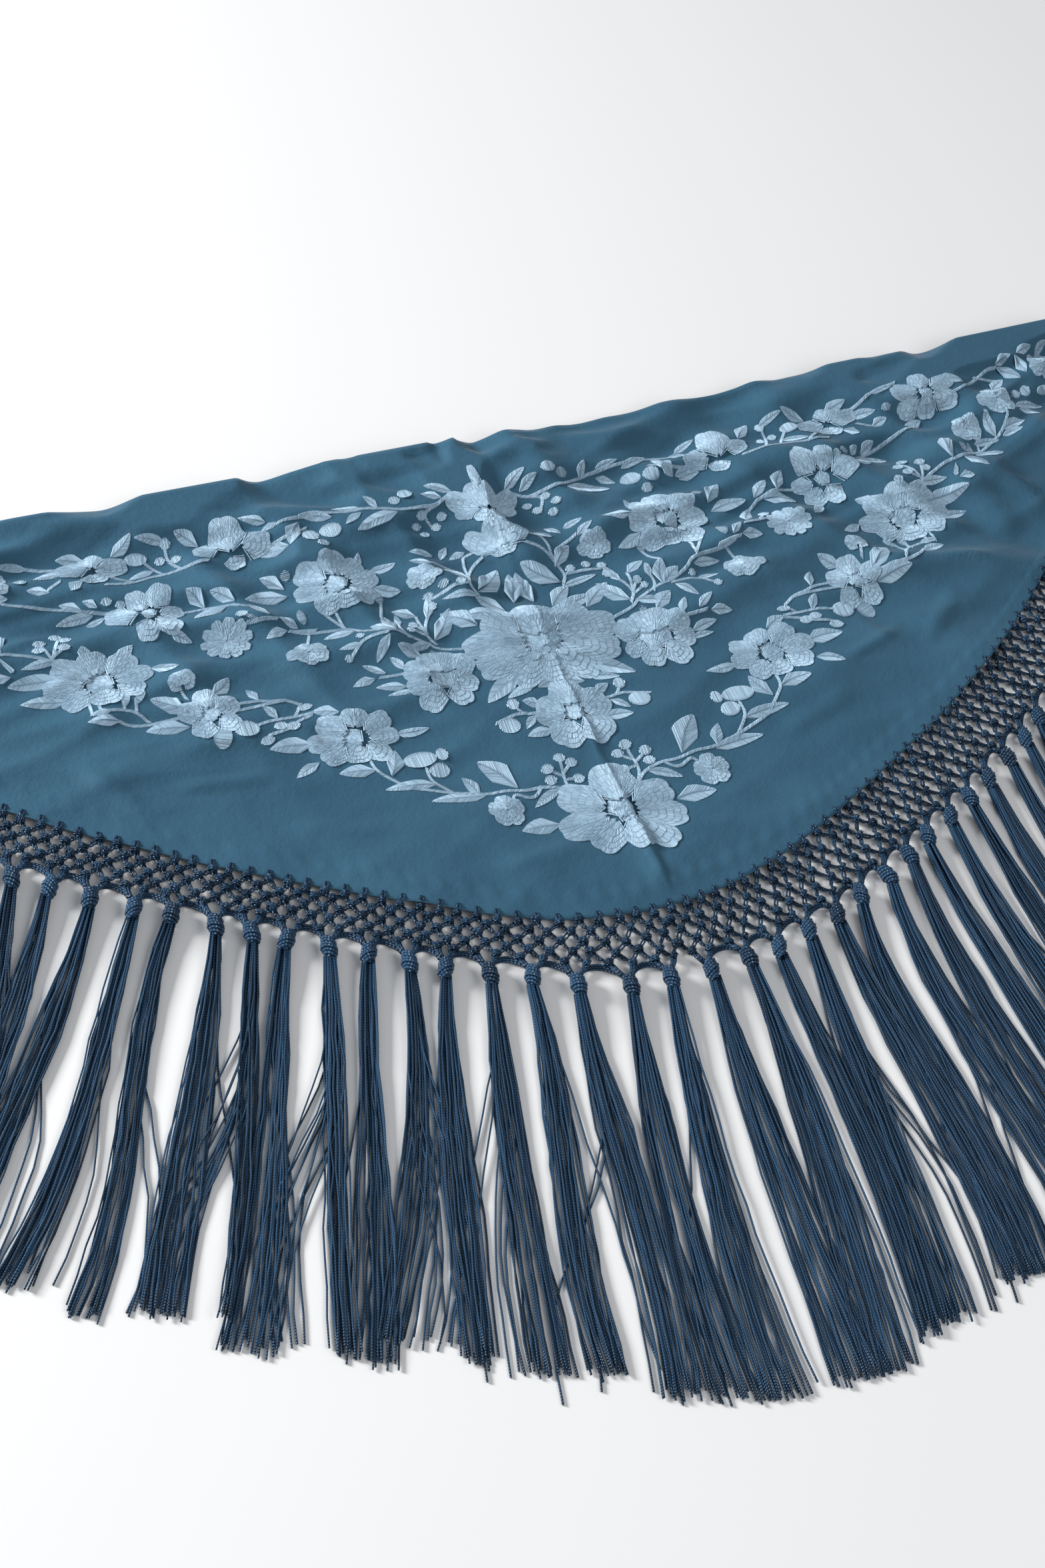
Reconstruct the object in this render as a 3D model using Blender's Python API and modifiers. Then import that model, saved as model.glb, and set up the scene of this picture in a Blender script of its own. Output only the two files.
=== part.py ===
"""A triangular flamenco shawl laid flat on Z = 0, its long edge along X and its point towards -Y.

The shawl is a crepe triangle, a knotted net along its two short sides and a fringe of wrapped
tassels that hangs from the net. The shapes are worked out in the flat cut's own coordinates, u along
the long edge and v towards it, and lay() skews them a little, the way the shawl was put down.
Lengths in the tables are millimetres, and MM turns them into Blender's metres.
"""

import math

import bmesh
import bpy
import numpy as np
from mathutils import Matrix

MM = 0.001

# The cut: the long edge is straight, and each short side bows out from the point to the corner.
LONG_EDGE_V = 199.0
# Columns: u, v
SHORT_SIDE = (
    (0.0, -80.0),
    (30.0, -78.0),
    (62.0, -70.0),
    (105.0, -53.0),
    (152.0, -30.0),
    (205.0, -2.0),
    (262.0, 34.0),
    (330.0, 88.0),
    (395.0, 145.0),
    (450.0, 196.0),
)
SKEW = 0.05
SKEW_CURVE = 0.00003
SKEW_FROM_V = -40.0
SKEW_TO_V = 200.0

# Where the origin lies in the laid shawl, so that it is under the middle of the whole box.
MIDDLE_X = -42.5
MIDDLE_Y = -39.0

CLOTH_WALL = 1.5
CLOTH_COLUMNS = 64
CLOTH_ROWS = 18
CENTRE_CROWDING = 0.45
LONG_EDGE_CROWDING = 0.25

LOOP = 8.5
SEAM_GAP = 0.3
NET_DEPTH = 22.5
NET_WALL = 2.4

STRIP_DEPTH = 3.4
STRIP_WALL = 2.2
TOOTH_ROOT = 10.0
TOOTH_TIP = 5.0
TOOTH_REACH = 8.0

TASSEL_PITCH = 2 * LOOP
TASSELS_A_STRIP = (5, 5, 5, 5, 5, 6)
HEAD_RADIUS = 3.4
HEAD_LENGTH = 11.0
HEAD_SIDES = 8
HEAD_START = 5.0
LOCKS_A_TASSEL = 4
LOCK_SIDES = 3
LOCK_LENGTH = 184.0
LOCK_ROOT_RADIUS = 1.0
LOCK_ROOT_SPACING = 2.1
LOCK_GAP = 0.5
LOCK_OVER_FLOOR = 0.5

# How the fringe was combed out: the way the tassels point at the shawl's point, the way they turn to
# along the side, and the length over which they turn. Columns: side, start, end, turning length
COMBED = {"left": (-1, -98.0, -115.0, 95.0), "right": (1, -97.0, -88.0, 150.0)}

# How the net was pulled: how much deeper than NET_DEPTH it lies along the middle of the side, and how far
# its tassels there sit from their even places. Both fade out towards the point and the corner.
PULLED = {"left": (-5.0, 7.0), "right": (4.0, -3.5)}
PULLED_FROM_POINT = 90.0
PULLED_TO_CORNER = 150.0

# The folds of the cloth, each a soft ridge along a line. Columns: x and y of its two ends, half width, height
FOLDS = (
    (0, 216, 2, 112, 14, 7),
    (4, 32, 7, -86, 10, 4),
    (-186, 182, -104, 199, 24, 9),
    (-118, 198, -18, 177, 15, 5),
    (-104, 204, -12, 200, 15, 6),
    (16, 174, 160, 205, 16, 5),
    (60, 210, 200, 212, 13, 4),
    (150, 186, 290, 220, 16, 7),
    (284, 198, 410, 236, 20, 9),
    (-306, 184, -186, 174, 15, 4),
    (-420, 176, -290, 166, 14, 5),
    (-240, 148, -118, 137, 14, 4),
    (-206, 120, -60, 108, 14, 3),
    (118, 150, 256, 172, 14, 4),
    (60, 104, 196, 122, 14, 3),
    (214, 124, 330, 166, 14, 4),
    (262, 134, 290, 84, 13, 4),
    (330, 170, 352, 120, 14, 4),
    (-330, 140, -296, 92, 14, 4),
    (-380, 168, -340, 126, 13, 3),
)
FOLD_TAPER = 0.3
HIGHEST_FOLD = 12.0

CREPE_COLOUR = (0.048, 0.130, 0.216)
THREAD_COLOUR = (0.024, 0.069, 0.144)
TASSEL_COLOUR = (0.022, 0.062, 0.130)


def smooth(t):
    t = np.clip(t, 0.0, 1.0)
    return t * t * (3.0 - 2.0 * t)


def lay(u, v):
    """Where a point of the flat cut lies on the surface."""
    u = np.asarray(u, float)
    v = np.asarray(v, float)
    share = smooth((v - SKEW_FROM_V) / (SKEW_TO_V - SKEW_FROM_V))
    return u, v + share * (SKEW * u + SKEW_CURVE * u * u)


def side_v(u):
    """The short side's v at this distance from the centre line, on a smooth curve through the table."""
    knots = np.array(SHORT_SIDE)
    slopes = np.gradient(knots[:, 1], knots[:, 0])
    slopes[0] = 0.0
    u = np.clip(np.abs(u), 0.0, knots[-1, 0])
    k = np.clip(np.searchsorted(knots[:, 0], u, side="right") - 1, 0, len(knots) - 2)
    step = knots[k + 1, 0] - knots[k, 0]
    t = (u - knots[k, 0]) / step
    return (
        (1 + 2 * t) * (1 - t) ** 2 * knots[k, 1]
        + t * (1 - t) ** 2 * step * slopes[k]
        + t * t * (3 - 2 * t) * knots[k + 1, 1]
        + t * t * (t - 1) * step * slopes[k + 1]
    )


def column_places():
    """The distances u at which the cloth and the net are cut into columns, crowded at the centre crease."""
    share = np.linspace(-1.0, 1.0, CLOTH_COLUMNS + 1)
    return SHORT_SIDE[-1][0] * (CENTRE_CROWDING * share + (1.0 - CENTRE_CROWDING) * share**3)


def fold_height(x, y):
    """How far the cloth stands off the surface at these points."""
    height = np.zeros(np.shape(x))
    for x0, y0, x1, y1, half_width, top in FOLDS:
        along = np.array((x1 - x0, y1 - y0), float)
        t = ((x - x0) * along[0] + (y - y0) * along[1]) / (along @ along)
        off = np.abs((x - x0) * along[1] - (y - y0) * along[0]) / np.linalg.norm(along)
        across = np.clip(1.0 - (off / half_width) ** 2, 0.0, 1.0) ** 2
        ends = smooth(t / FOLD_TAPER) * smooth((1.0 - t) / FOLD_TAPER)
        height = height + top * across * ends
    return np.minimum(height, HIGHEST_FOLD)


class SideLine:
    """The cloth's edge along one short side, from the point to the corner, by its own length."""

    def __init__(self, side):
        self.sign, self.start, self.end, self.turning = COMBED[side]
        self.deeper, self.shift = PULLED[side]
        u = np.linspace(0.0, SHORT_SIDE[-1][0], 600)
        self.points = np.stack(lay(self.sign * u, side_v(u)), -1)
        steps = np.linalg.norm(np.diff(self.points, axis=0), axis=1)
        self.lengths = np.concatenate([[0.0], np.cumsum(steps)])
        tangents = np.gradient(self.points, axis=0)
        tangents /= np.linalg.norm(tangents, axis=1, keepdims=True)
        self.distances = u
        self.outward = self.sign * np.stack([tangents[:, 1], -tangents[:, 0]], -1)
        self.outward[0] = (0.0, -1.0)

    def at(self, length, depth):
        """The point this far along the edge and this far outside it."""
        place = [np.interp(length, self.lengths, self.points[:, i]) for i in (0, 1)]
        out = [np.interp(length, self.lengths, self.outward[:, i]) for i in (0, 1)]
        return np.stack(place, -1) + np.stack(out, -1) * np.expand_dims(depth, -1)

    def pulled(self, length):
        """How far the net has its full pull here, from 0 to 1."""
        return smooth(length / PULLED_FROM_POINT) * smooth((self.lengths[-1] - length) / PULLED_TO_CORNER)

    def net_depth(self, length):
        """How deep the net's band is here."""
        return NET_DEPTH + self.deeper * self.pulled(length)

    def tassel_place(self, number):
        """Where along the edge the tassel with this number hangs. Halves are the places between tassels."""
        even = (number + 0.5) * TASSEL_PITCH
        return even + self.shift * self.pulled(even)

    def combed_way(self, length):
        """The unit vector along which a tassel lies here."""
        share = 1.0 - math.exp(-length / self.turning)
        angle = math.radians(self.start + (self.end - self.start) * share)
        return np.array((math.cos(angle), math.sin(angle)))

    def room(self, length):
        """The width that a tassel has between its neighbours."""
        sides = (length - TASSEL_PITCH / 2, length + TASSEL_PITCH / 2)
        before, after = (self.at(place, self.net_depth(place)) for place in sides)
        gap = after - before
        way = self.combed_way(length)
        return abs(gap[0] * way[1] - gap[1] * way[0])


def material(name, colour, roughness):
    made = bpy.data.materials.new(name)
    made.use_nodes = True
    shader = made.node_tree.nodes["Principled BSDF"]
    shader.inputs["Base Color"].default_value = (*colour, 1.0)
    shader.inputs["Roughness"].default_value = roughness
    shader.inputs["Metallic"].default_value = 0.0
    return made


def add_object(name, mesh, look, collection):
    made = bpy.data.objects.new(name, mesh)
    mesh.materials.append(look)
    collection.objects.link(made)
    return made


def wall(name, grid, thickness, look, collection):
    """A wall that stands up from a grid of points, rows by columns by XYZ in millimetres."""
    rows, columns = grid.shape[:2]
    faces = []
    for r in range(rows - 1):
        for c in range(columns - 1):
            a = r * columns + c
            faces.append((a, a + 1, a + columns + 1, a + columns))
    mesh = bpy.data.meshes.new(name)
    mesh.from_pydata((grid.reshape(-1, 3) * MM).tolist(), [], faces)
    if sum(polygon.normal.z for polygon in mesh.polygons) < 0:
        mesh.flip_normals()
    mesh.shade_smooth()
    mesh.set_sharp_from_angle(angle=math.radians(40))
    made = add_object(name, mesh, look, collection)
    solidify = made.modifiers.new("thickness", "SOLIDIFY")
    solidify.thickness = thickness * MM
    solidify.offset = 1.0
    return made


def build_cloth(look, collection):
    """The crepe: a grid over the cut, its rows crowded towards the long edge."""
    u = column_places()
    rise = np.linspace(0.0, 1.0, CLOTH_ROWS + 1)
    rise = (1.0 + LONG_EDGE_CROWDING) * rise - LONG_EDGE_CROWDING * rise**2
    low = side_v(u)
    v = low + (LONG_EDGE_V - low) * rise[:, None]
    x, y = lay(np.broadcast_to(u, v.shape), v)
    grid = np.stack([x, y, fold_height(x, y)], -1)
    return wall("cloth", grid, CLOTH_WALL, look, collection)


def build_net(side, look, collection):
    """The net's band, from just outside the cloth's edge to just inside the fringe's strip."""
    line = SideLine(side)
    columns = column_places()
    length = np.interp(columns[columns >= 0.0], line.distances, line.lengths)
    rows = []
    for share in (0.0, 0.5, 1.0):
        flat = line.at(length, SEAM_GAP + (line.net_depth(length) - SEAM_GAP) * share)
        rows.append(np.column_stack([flat, np.zeros(len(flat))]))
    # At the point the two bands meet along the centre line.
    for row in rows:
        row[0, 0] = line.sign * SEAM_GAP / 2
    return wall("net_" + side, np.array(rows), NET_WALL, look, collection)


def strip_surface(line, tassels):
    """The strip's upper and lower edges, with a tooth that reaches out to each tassel's head."""
    first_end = line.tassel_place(tassels[0] - 0.5) + SEAM_GAP / 2
    last_end = line.tassel_place(tassels[-1] + 0.5) - SEAM_GAP / 2

    def inner(place):
        return line.at(place, line.net_depth(place) + SEAM_GAP)

    def outer(place):
        return line.at(place, line.net_depth(place) + SEAM_GAP + STRIP_DEPTH)

    upper = [inner(first_end)]
    lower = [outer(first_end)]
    for tassel in tassels:
        middle = line.tassel_place(tassel)
        way = line.combed_way(middle)
        across = line.sign * np.array((-way[1], way[0]))
        tip = outer(middle) + way * TOOTH_REACH
        for place, low in (
            (-TOOTH_ROOT / 2, None),
            (-TOOTH_TIP / 2, tip - across * TOOTH_TIP / 2),
            (TOOTH_TIP / 2, tip + across * TOOTH_TIP / 2),
            (TOOTH_ROOT / 2, None),
        ):
            upper.append(inner(middle + place))
            lower.append(outer(middle + place) if low is None else low)
    upper.append(inner(last_end))
    lower.append(outer(last_end))
    rows = [np.column_stack([row, np.zeros(len(row))]) for row in (upper, lower)]
    for row in rows:
        if tassels[0] == 0:
            row[0, 0] = line.sign * SEAM_GAP / 2
    return np.array(rows)


def cone_between(name, start, end, radii, sides, turn, centre, collection):
    """A closed cone with flat sides from start to end, in millimetres, turned about its own axis."""
    start = np.array(start)
    axis = np.array(end) - start
    length = float(np.linalg.norm(axis))
    mesh = bpy.data.meshes.new(name)
    shape = bmesh.new()
    bmesh.ops.create_cone(
        shape, cap_ends=True, cap_tris=False, segments=sides, radius1=radii[0] * MM, radius2=radii[1] * MM,
        depth=length * MM,
    )
    shape.to_mesh(mesh)
    shape.free()
    mesh.transform(Matrix.Rotation(turn, 4, "Z"))
    made = bpy.data.objects.new(name, mesh)
    made.location = (start + axis / 2) * MM
    made.rotation_euler = (0.0, math.acos(axis[2] / length), math.atan2(axis[1], axis[0]))
    made.parent = centre
    made.hide_render = True
    made.display_type = "WIRE"
    collection.objects.link(made)


def build_strip(side, number, tassels, look, centre, collection, joined):
    """One stretch of the fringe: the strip, its tassel heads and their locks, fused into one solid."""
    line = SideLine(side)
    name = f"fringe_{side}_{number}"
    strip = wall(name, strip_surface(line, tassels), STRIP_WALL, look, collection)
    pieces = bpy.data.collections.new(name + "_pieces")
    joined.children.link(pieces)
    for tassel in tassels:
        middle = line.tassel_place(tassel)
        way = line.combed_way(middle)
        across = np.array((-way[1], way[0]))
        root = line.at(middle, line.net_depth(middle) + SEAM_GAP + STRIP_DEPTH)
        top = root + way * HEAD_START
        bottom = top + way * HEAD_LENGTH
        height = HEAD_RADIUS + LOCK_OVER_FLOOR / 5
        cone_between(
            f"head_{side}_{tassel}", (*top, height), (*bottom, height), (HEAD_RADIUS, HEAD_RADIUS), HEAD_SIDES,
            math.pi / HEAD_SIDES, centre, pieces,
        )
        spacing = (line.room(middle) - LOCK_GAP) / LOCKS_A_TASSEL
        tip_radius = (spacing - LOCK_GAP) / math.sqrt(3.0)
        for lock in range(LOCKS_A_TASSEL):
            place = lock - (LOCKS_A_TASSEL - 1) / 2
            inside = bottom - way * HEAD_LENGTH / 3 + across * place * LOCK_ROOT_SPACING
            tip = bottom + way * LOCK_LENGTH + across * place * spacing
            cone_between(
                f"lock_{side}_{tassel}_{lock}", (*inside, height), (*tip, tip_radius / 2 + LOCK_OVER_FLOOR),
                (LOCK_ROOT_RADIUS, tip_radius), LOCK_SIDES, math.pi / 2, centre, pieces,
            )
    fuse = strip.modifiers.new("fused", "BOOLEAN")
    fuse.operation = "UNION"
    fuse.operand_type = "COLLECTION"
    fuse.collection = pieces
    return strip


def main():
    for old in list(bpy.data.objects):
        bpy.data.objects.remove(old, do_unlink=True)
    shawl = bpy.data.collections.new("flamenco_shawl")
    joined = bpy.data.collections.new("joined_pieces")
    for made in (shawl, joined):
        bpy.context.scene.collection.children.link(made)

    centre = bpy.data.objects.new("shawl_centre", None)
    centre.location = (-MIDDLE_X * MM, -MIDDLE_Y * MM, 0.0)
    shawl.objects.link(centre)

    nodes = [build_cloth(material("crepe", CREPE_COLOUR, 0.55), shawl)]
    net_look = material("net_thread", THREAD_COLOUR, 0.6)
    fringe_look = material("tassel_thread", TASSEL_COLOUR, 0.5)
    for side in COMBED:
        nodes.append(build_net(side, net_look, shawl))
        first = 0
        for number, count in enumerate(TASSELS_A_STRIP, 1):
            tassels = range(first, first + count)
            nodes.append(build_strip(side, number, tassels, fringe_look, centre, shawl, joined))
            first += count
    for node in nodes:
        node.parent = centre


main()
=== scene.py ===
"""A petrol blue flamenco shawl laid flat: embroidered crepe, a knotted net and a long fringe of tassels.

Sizes are in millimetres, in the frame of the laid shawl, and place() turns them into Blender's metres.
"""

import math

import bpy
import numpy as np
from mathutils import Matrix, Vector


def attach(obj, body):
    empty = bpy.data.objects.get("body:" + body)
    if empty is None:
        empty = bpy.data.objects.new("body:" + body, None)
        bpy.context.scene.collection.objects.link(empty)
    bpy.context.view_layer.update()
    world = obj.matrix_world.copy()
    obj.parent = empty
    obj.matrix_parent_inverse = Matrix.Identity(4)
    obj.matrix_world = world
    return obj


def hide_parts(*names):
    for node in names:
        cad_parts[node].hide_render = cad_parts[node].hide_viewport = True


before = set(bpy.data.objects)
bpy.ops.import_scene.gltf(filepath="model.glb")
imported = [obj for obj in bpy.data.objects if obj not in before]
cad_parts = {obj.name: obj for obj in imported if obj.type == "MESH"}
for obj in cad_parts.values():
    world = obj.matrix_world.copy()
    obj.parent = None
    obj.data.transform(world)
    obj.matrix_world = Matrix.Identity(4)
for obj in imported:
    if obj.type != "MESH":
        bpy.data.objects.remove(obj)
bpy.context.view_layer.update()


# Crepe triangle: one cut of thin matt crepe, its long edge straight and its two short sides bowed out.
# It was laid down by hand, so it lies a little skewed, with low folds along the long edge, pulled
# creases between the flowers and the crease down its middle where it had been folded for storing.
LONG_EDGE = 199.0
SHORT_SIDE_U = np.array((0.0, 30.0, 62.0, 105.0, 152.0, 205.0, 262.0, 330.0, 395.0, 450.0))
SHORT_SIDE_V = np.array((-80.0, -78.0, -70.0, -53.0, -30.0, -2.0, 34.0, 88.0, 145.0, 196.0))
HALF_WIDTH = 450.0
MIDDLE = np.array((-42.5, -39.0, 0.0))
METRES = 0.001
CREPE_THICKNESS = 0.4
CREPE_REST = 0.9
CREPE_COLUMNS = 345
CREPE_ROWS = 116

# Each row is a soft ridge: x and y of its two ends, half width, height.
MAIN_FOLDS = (
    (0, 216, 1, 150, 13, 5), (-186, 182, -104, 199, 24, 9), (-118, 198, -18, 177, 15, 5),
    (-104, 204, -12, 200, 15, 6), (16, 174, 160, 205, 16, 5), (60, 210, 200, 212, 13, 4),
    (150, 186, 290, 220, 16, 7), (284, 198, 410, 236, 20, 9), (-306, 184, -186, 174, 15, 4),
    (-420, 176, -290, 166, 14, 5), (-240, 148, -118, 137, 14, 4), (-206, 120, -60, 108, 14, 3),
    (118, 150, 256, 172, 14, 4), (60, 104, 196, 122, 14, 3), (214, 124, 330, 166, 14, 4),
    (262, 134, 290, 84, 13, 4), (330, 170, 352, 120, 14, 4), (-330, 140, -296, 92, 14, 4),
    (-380, 168, -340, 126, 13, 3),
)
FINE_CREASES = (
    (-200, 33, -146, 29, 5, 1.3), (146, 28, 194, 44, 5, 1.4), (168, 58, 180, 36, 5, 1.1),
    (286, 142, 314, 96, 6, 1.6), (-150, 96, -96, 88, 6, 1.0), (20, -40, 60, -44, 6, 0.9),
    (-70, -44, -24, -38, 6, 0.9), (96, -4, 150, 12, 7, 1.1), (-156, 2, -104, -10, 7, 1.1),
    (-130, 60, -122, 20, 6, 0.9), (196, 28, 236, 62, 7, 1.3), (-236, 54, -210, 22, 7, 1.2),
    (60, 170, 128, 186, 6, 1.6), (-90, 170, -30, 160, 6, 1.4), (-300, 120, -250, 108, 7, 1.4),
    (236, 196, 330, 214, 7, 2.0), (10, 12, 34, 4, 5, 0.8), (-40, 10, -14, 2, 5, 0.8),
    (-330, 150, -250, 158, 8, 2.5), (-290, 176, -200, 166, 8, 2.5), (-262, 128, -180, 140, 7, 2.2),
    (-170, 150, -90, 160, 8, 2.4), (-150, 172, -70, 168, 7, 2.2), (-128, 128, -52, 122, 7, 1.8),
    (-90, 108, -20, 100, 7, 1.5), (20, 150, 92, 160, 8, 2.4), (30, 128, 98, 140, 7, 2.0),
    (84, 160, 170, 178, 8, 2.6), (110, 128, 178, 146, 7, 2.2), (150, 118, 214, 130, 7, 2.0),
    (176, 150, 262, 170, 8, 2.6), (200, 186, 300, 200, 8, 2.8), (236, 146, 300, 150, 8, 2.2),
    (250, 176, 340, 196, 8, 2.8), (300, 150, 360, 186, 8, 2.6), (300, 196, 392, 214, 8, 2.8),
    (90, 84, 150, 100, 7, 1.4), (-200, 84, -130, 92, 7, 1.5), (-60, 186, -8, 188, 6, 2.2),
    (8, 186, 60, 192, 6, 2.2),
)


def smooth(share):
    share = np.clip(share, 0.0, 1.0)
    return share * share * (3.0 - 2.0 * share)


# The skew it was laid down with: where along v it begins, the length it grows over, its slope and bend.
SKEW_START = -40.0
SKEW_LENGTH = 240.0
SKEW_SLOPE = 0.05
SKEW_BEND = 0.00003


def lay(u, v):
    """Where a point of the flat cut lies: the shawl was put down a little skewed."""
    share = smooth((v - SKEW_START) / SKEW_LENGTH)
    return u, v + share * (SKEW_SLOPE * u + SKEW_BEND * u * u)


def short_side(u):
    """The short side's v at this distance from the middle."""
    slopes = np.gradient(SHORT_SIDE_V, SHORT_SIDE_U)
    slopes[0] = 0.0
    u = np.clip(np.abs(u), 0.0, HALF_WIDTH)
    k = np.clip(np.searchsorted(SHORT_SIDE_U, u, side="right") - 1, 0, len(SHORT_SIDE_U) - 2)
    step = SHORT_SIDE_U[k + 1] - SHORT_SIDE_U[k]
    t = (u - SHORT_SIDE_U[k]) / step
    start = (1 + 2 * t) * (1 - t) ** 2 * SHORT_SIDE_V[k] + t * (1 - t) ** 2 * step * slopes[k]
    end = t * t * (3 - 2 * t) * SHORT_SIDE_V[k + 1] + t * t * (t - 1) * step * slopes[k + 1]
    return start + end


# The share of a ridge's length over which each of its ends fades out.
RIDGE_FADE = 0.3


def ridges(x, y, table, limit):
    """The summed height of the ridges in the table."""
    height = np.zeros(np.shape(x))
    for x0, y0, x1, y1, half_width, top in table:
        run = np.hypot(x1 - x0, y1 - y0)
        t = ((x - x0) * (x1 - x0) + (y - y0) * (y1 - y0)) / run**2
        off = np.abs((x - x0) * (y1 - y0) - (y - y0) * (x1 - x0)) / run
        across = np.clip(1.0 - (off / half_width) ** 2, 0.0, 1.0) ** 2
        height = height + top * across * smooth(t / RIDGE_FADE) * smooth((1.0 - t) / RIDGE_FADE)
    return np.minimum(height, limit)


# Ripples: their lengths, their height as a share of that, and the level they swing about.
RIPPLE_LENGTHS = 26.0 + 6.5 * np.arange(16)
RIPPLE_RISE = 0.0035
RIPPLE_LEVEL = 0.7


def ripples(x, y):
    """The crepe's own slight unevenness, a sum of long waves in many directions."""
    waves = np.random.default_rng(7)
    height = np.zeros(np.shape(x))
    for length in RIPPLE_LENGTHS:
        angle = waves.uniform(0.0, math.pi)
        phase = waves.uniform(0.0, 2 * math.pi)
        bend = waves.uniform(0.0, 2 * math.pi)
        along = x * math.cos(angle) + y * math.sin(angle)
        aside = y * math.cos(angle) - x * math.sin(angle)
        swing = 1.4 * np.sin(aside / (0.7 * length) + bend)
        height = height + RIPPLE_RISE * length * np.sin(2 * math.pi * along / length + phase + swing)
    return RIPPLE_LEVEL + height


# The middle crease: its height at these places along y, and its reach to its left and to its right.
CREASE_Y = (-76, -62, -40, -20, 20, 60, 120, 160, 190)
CREASE_HEIGHT = (0.0, 2.8, 3.0, 1.2, 2.0, 0.7, 0.6, 2.0, 2.8)
CREASE_RISE = 1.2
CREASE_LEFT = 6.0
CREASE_RIGHT = 1.8


def middle_crease(x, y):
    """The sharp crease from the long edge to the point, where the shawl had been folded in two."""
    off = x - (203.0 - y) * 0.024 + 0.6 * np.sin(y / 23.0)
    top = np.interp(y, CREASE_Y, CREASE_HEIGHT)
    return top * CREASE_RISE * np.exp(-np.abs(off) / np.where(off < 0.0, CREASE_LEFT, CREASE_RIGHT))


# The hem: its width, its added height, and the puckers along its line of sewing.
HEM_WIDTH = 12.5
HEM_HEIGHT = 0.45
HEM_LEVEL = 0.3
SEWING_LINE = 11.0
SEWING_WIDTH = 3.5
PUCKER_HEIGHT = 0.28


def hem(x, y):
    """The turned edge of the short sides, a little thicker and puckered along its line of sewing."""
    inside = (y - short_side(x)) * 0.86
    puckers = np.sin(x / 1.7 + 2.0 * np.sin(x / 19.0))
    puckers = puckers * np.exp(-((inside - SEWING_LINE) / SEWING_WIDTH) ** 2)
    return HEM_HEIGHT * smooth((HEM_WIDTH - inside) / 2.0) + PUCKER_HEIGHT * puckers + HEM_LEVEL


# Wrinkles: their spacings, their height as a share of that, and how they grow towards the long edge.
WRINKLE_SPACINGS = 17.0 + 5.0 * np.arange(11)
WRINKLE_RISE = 0.12
WRINKLE_LEAST = 0.22
WRINKLE_GROWTH = 130.0


def wrinkles(x, y):
    """Small sharp folds that come and go, mostly along the shawl and strongest near its long edge."""
    waves = np.random.default_rng(11)
    height = np.zeros(np.shape(x))
    for spacing in WRINKLE_SPACINGS:
        angle = math.radians(waves.normal(84.0, 26.0))
        start, bend, where = waves.uniform(0.0, 2 * math.pi, 3)
        across = x * math.cos(angle) + y * math.sin(angle)
        along = y * math.cos(angle) - x * math.sin(angle)
        turn = math.pi * across / spacing + start + 1.2 * np.sin(along / (1.6 * spacing) + bend)
        fold = np.sqrt(np.sin(turn) ** 2 * 0.97 + 0.03)
        come_along = np.sin(along / (1.1 * spacing) + where)
        come_across = np.sin(across / (1.9 * spacing) + bend)
        here = smooth(0.35 + 0.9 * come_along * come_across)
        height = height + WRINKLE_RISE * spacing * (1.0 - fold) ** 1.5 * here
    return height * (WRINKLE_LEAST + (1.0 - WRINKLE_LEAST) * smooth(y / WRINKLE_GROWTH))


# The most that the main folds, the fine creases and the whole relief may add up to.
MAIN_FOLDS_LIMIT = 12.0
FINE_CREASES_LIMIT = 3.0
RELIEF_LIMIT = 13.0


def crepe_height(x, y):
    """How high the top of the crepe lies above the floor."""
    relief = ridges(x, y, MAIN_FOLDS, MAIN_FOLDS_LIMIT) + ridges(x, y, FINE_CREASES, FINE_CREASES_LIMIT)
    relief = relief + middle_crease(x, y)
    relief = relief + wrinkles(x, y) + hem(x, y) + np.maximum(ripples(x, y), 0.0)
    return CREPE_REST + np.minimum(relief, RELIEF_LIMIT)


def place(points):
    """Points of the laid shawl in millimetres, as metres in the frame of the part."""
    return (np.asarray(points, float) - MIDDLE) * METRES


def mesh_piece(name, points, faces, finish, uvs=None):
    """A mesh object in place, shaded smooth, riding on the shawl's one body."""
    mesh = bpy.data.meshes.new(name)
    mesh.from_pydata(place(points).tolist(), [], faces)
    if uvs is not None:
        layer = mesh.uv_layers.new(name="thread")
        layer.data.foreach_set("uv", np.asarray(uvs, np.float32))
    mesh.materials.append(finish)
    mesh.shade_smooth()
    piece = bpy.data.objects.new(name, mesh)
    bpy.context.scene.collection.objects.link(piece)
    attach(piece, "root")
    return piece


def new_group(name, inputs, outputs):
    """A shader node group with named sockets. Returns its tree, its input node and its output node."""
    tree = bpy.data.node_groups.new(name, "ShaderNodeTree")
    for label, kind, value in inputs:
        socket = tree.interface.new_socket(label, in_out="INPUT", socket_type=kind)
        socket.default_value = value
    for label, kind in outputs:
        tree.interface.new_socket(label, in_out="OUTPUT", socket_type=kind)
    return tree, tree.nodes.new("NodeGroupInput"), tree.nodes.new("NodeGroupOutput")


def set_values(node, values):
    """Sets a node's inputs by their names."""
    for socket, value in values.items():
        node.inputs[socket].default_value = value


def add_node(tree, kind, values=None):
    """A shader node of this kind, with some of its inputs set."""
    node = tree.nodes.new("ShaderNode" + kind)
    set_values(node, values or {})
    return node


def add_math(tree, operation, second=None):
    """A Math node, with its second number where nothing is linked to that."""
    node = add_node(tree, "Math")
    node.operation = operation
    if second is not None:
        node.inputs[1].default_value = second
    return node


def add_colour_mix(tree):
    """A Mix node that mixes two colours."""
    node = add_node(tree, "Mix")
    node.data_type = "RGBA"
    return node


def join(tree, *links):
    """Links nodes. Each link is the giving node, its output, the taking node and its input."""
    for giver, output, taker, socket in links:
        tree.links.new(giver.outputs[output], taker.inputs[socket])


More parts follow.
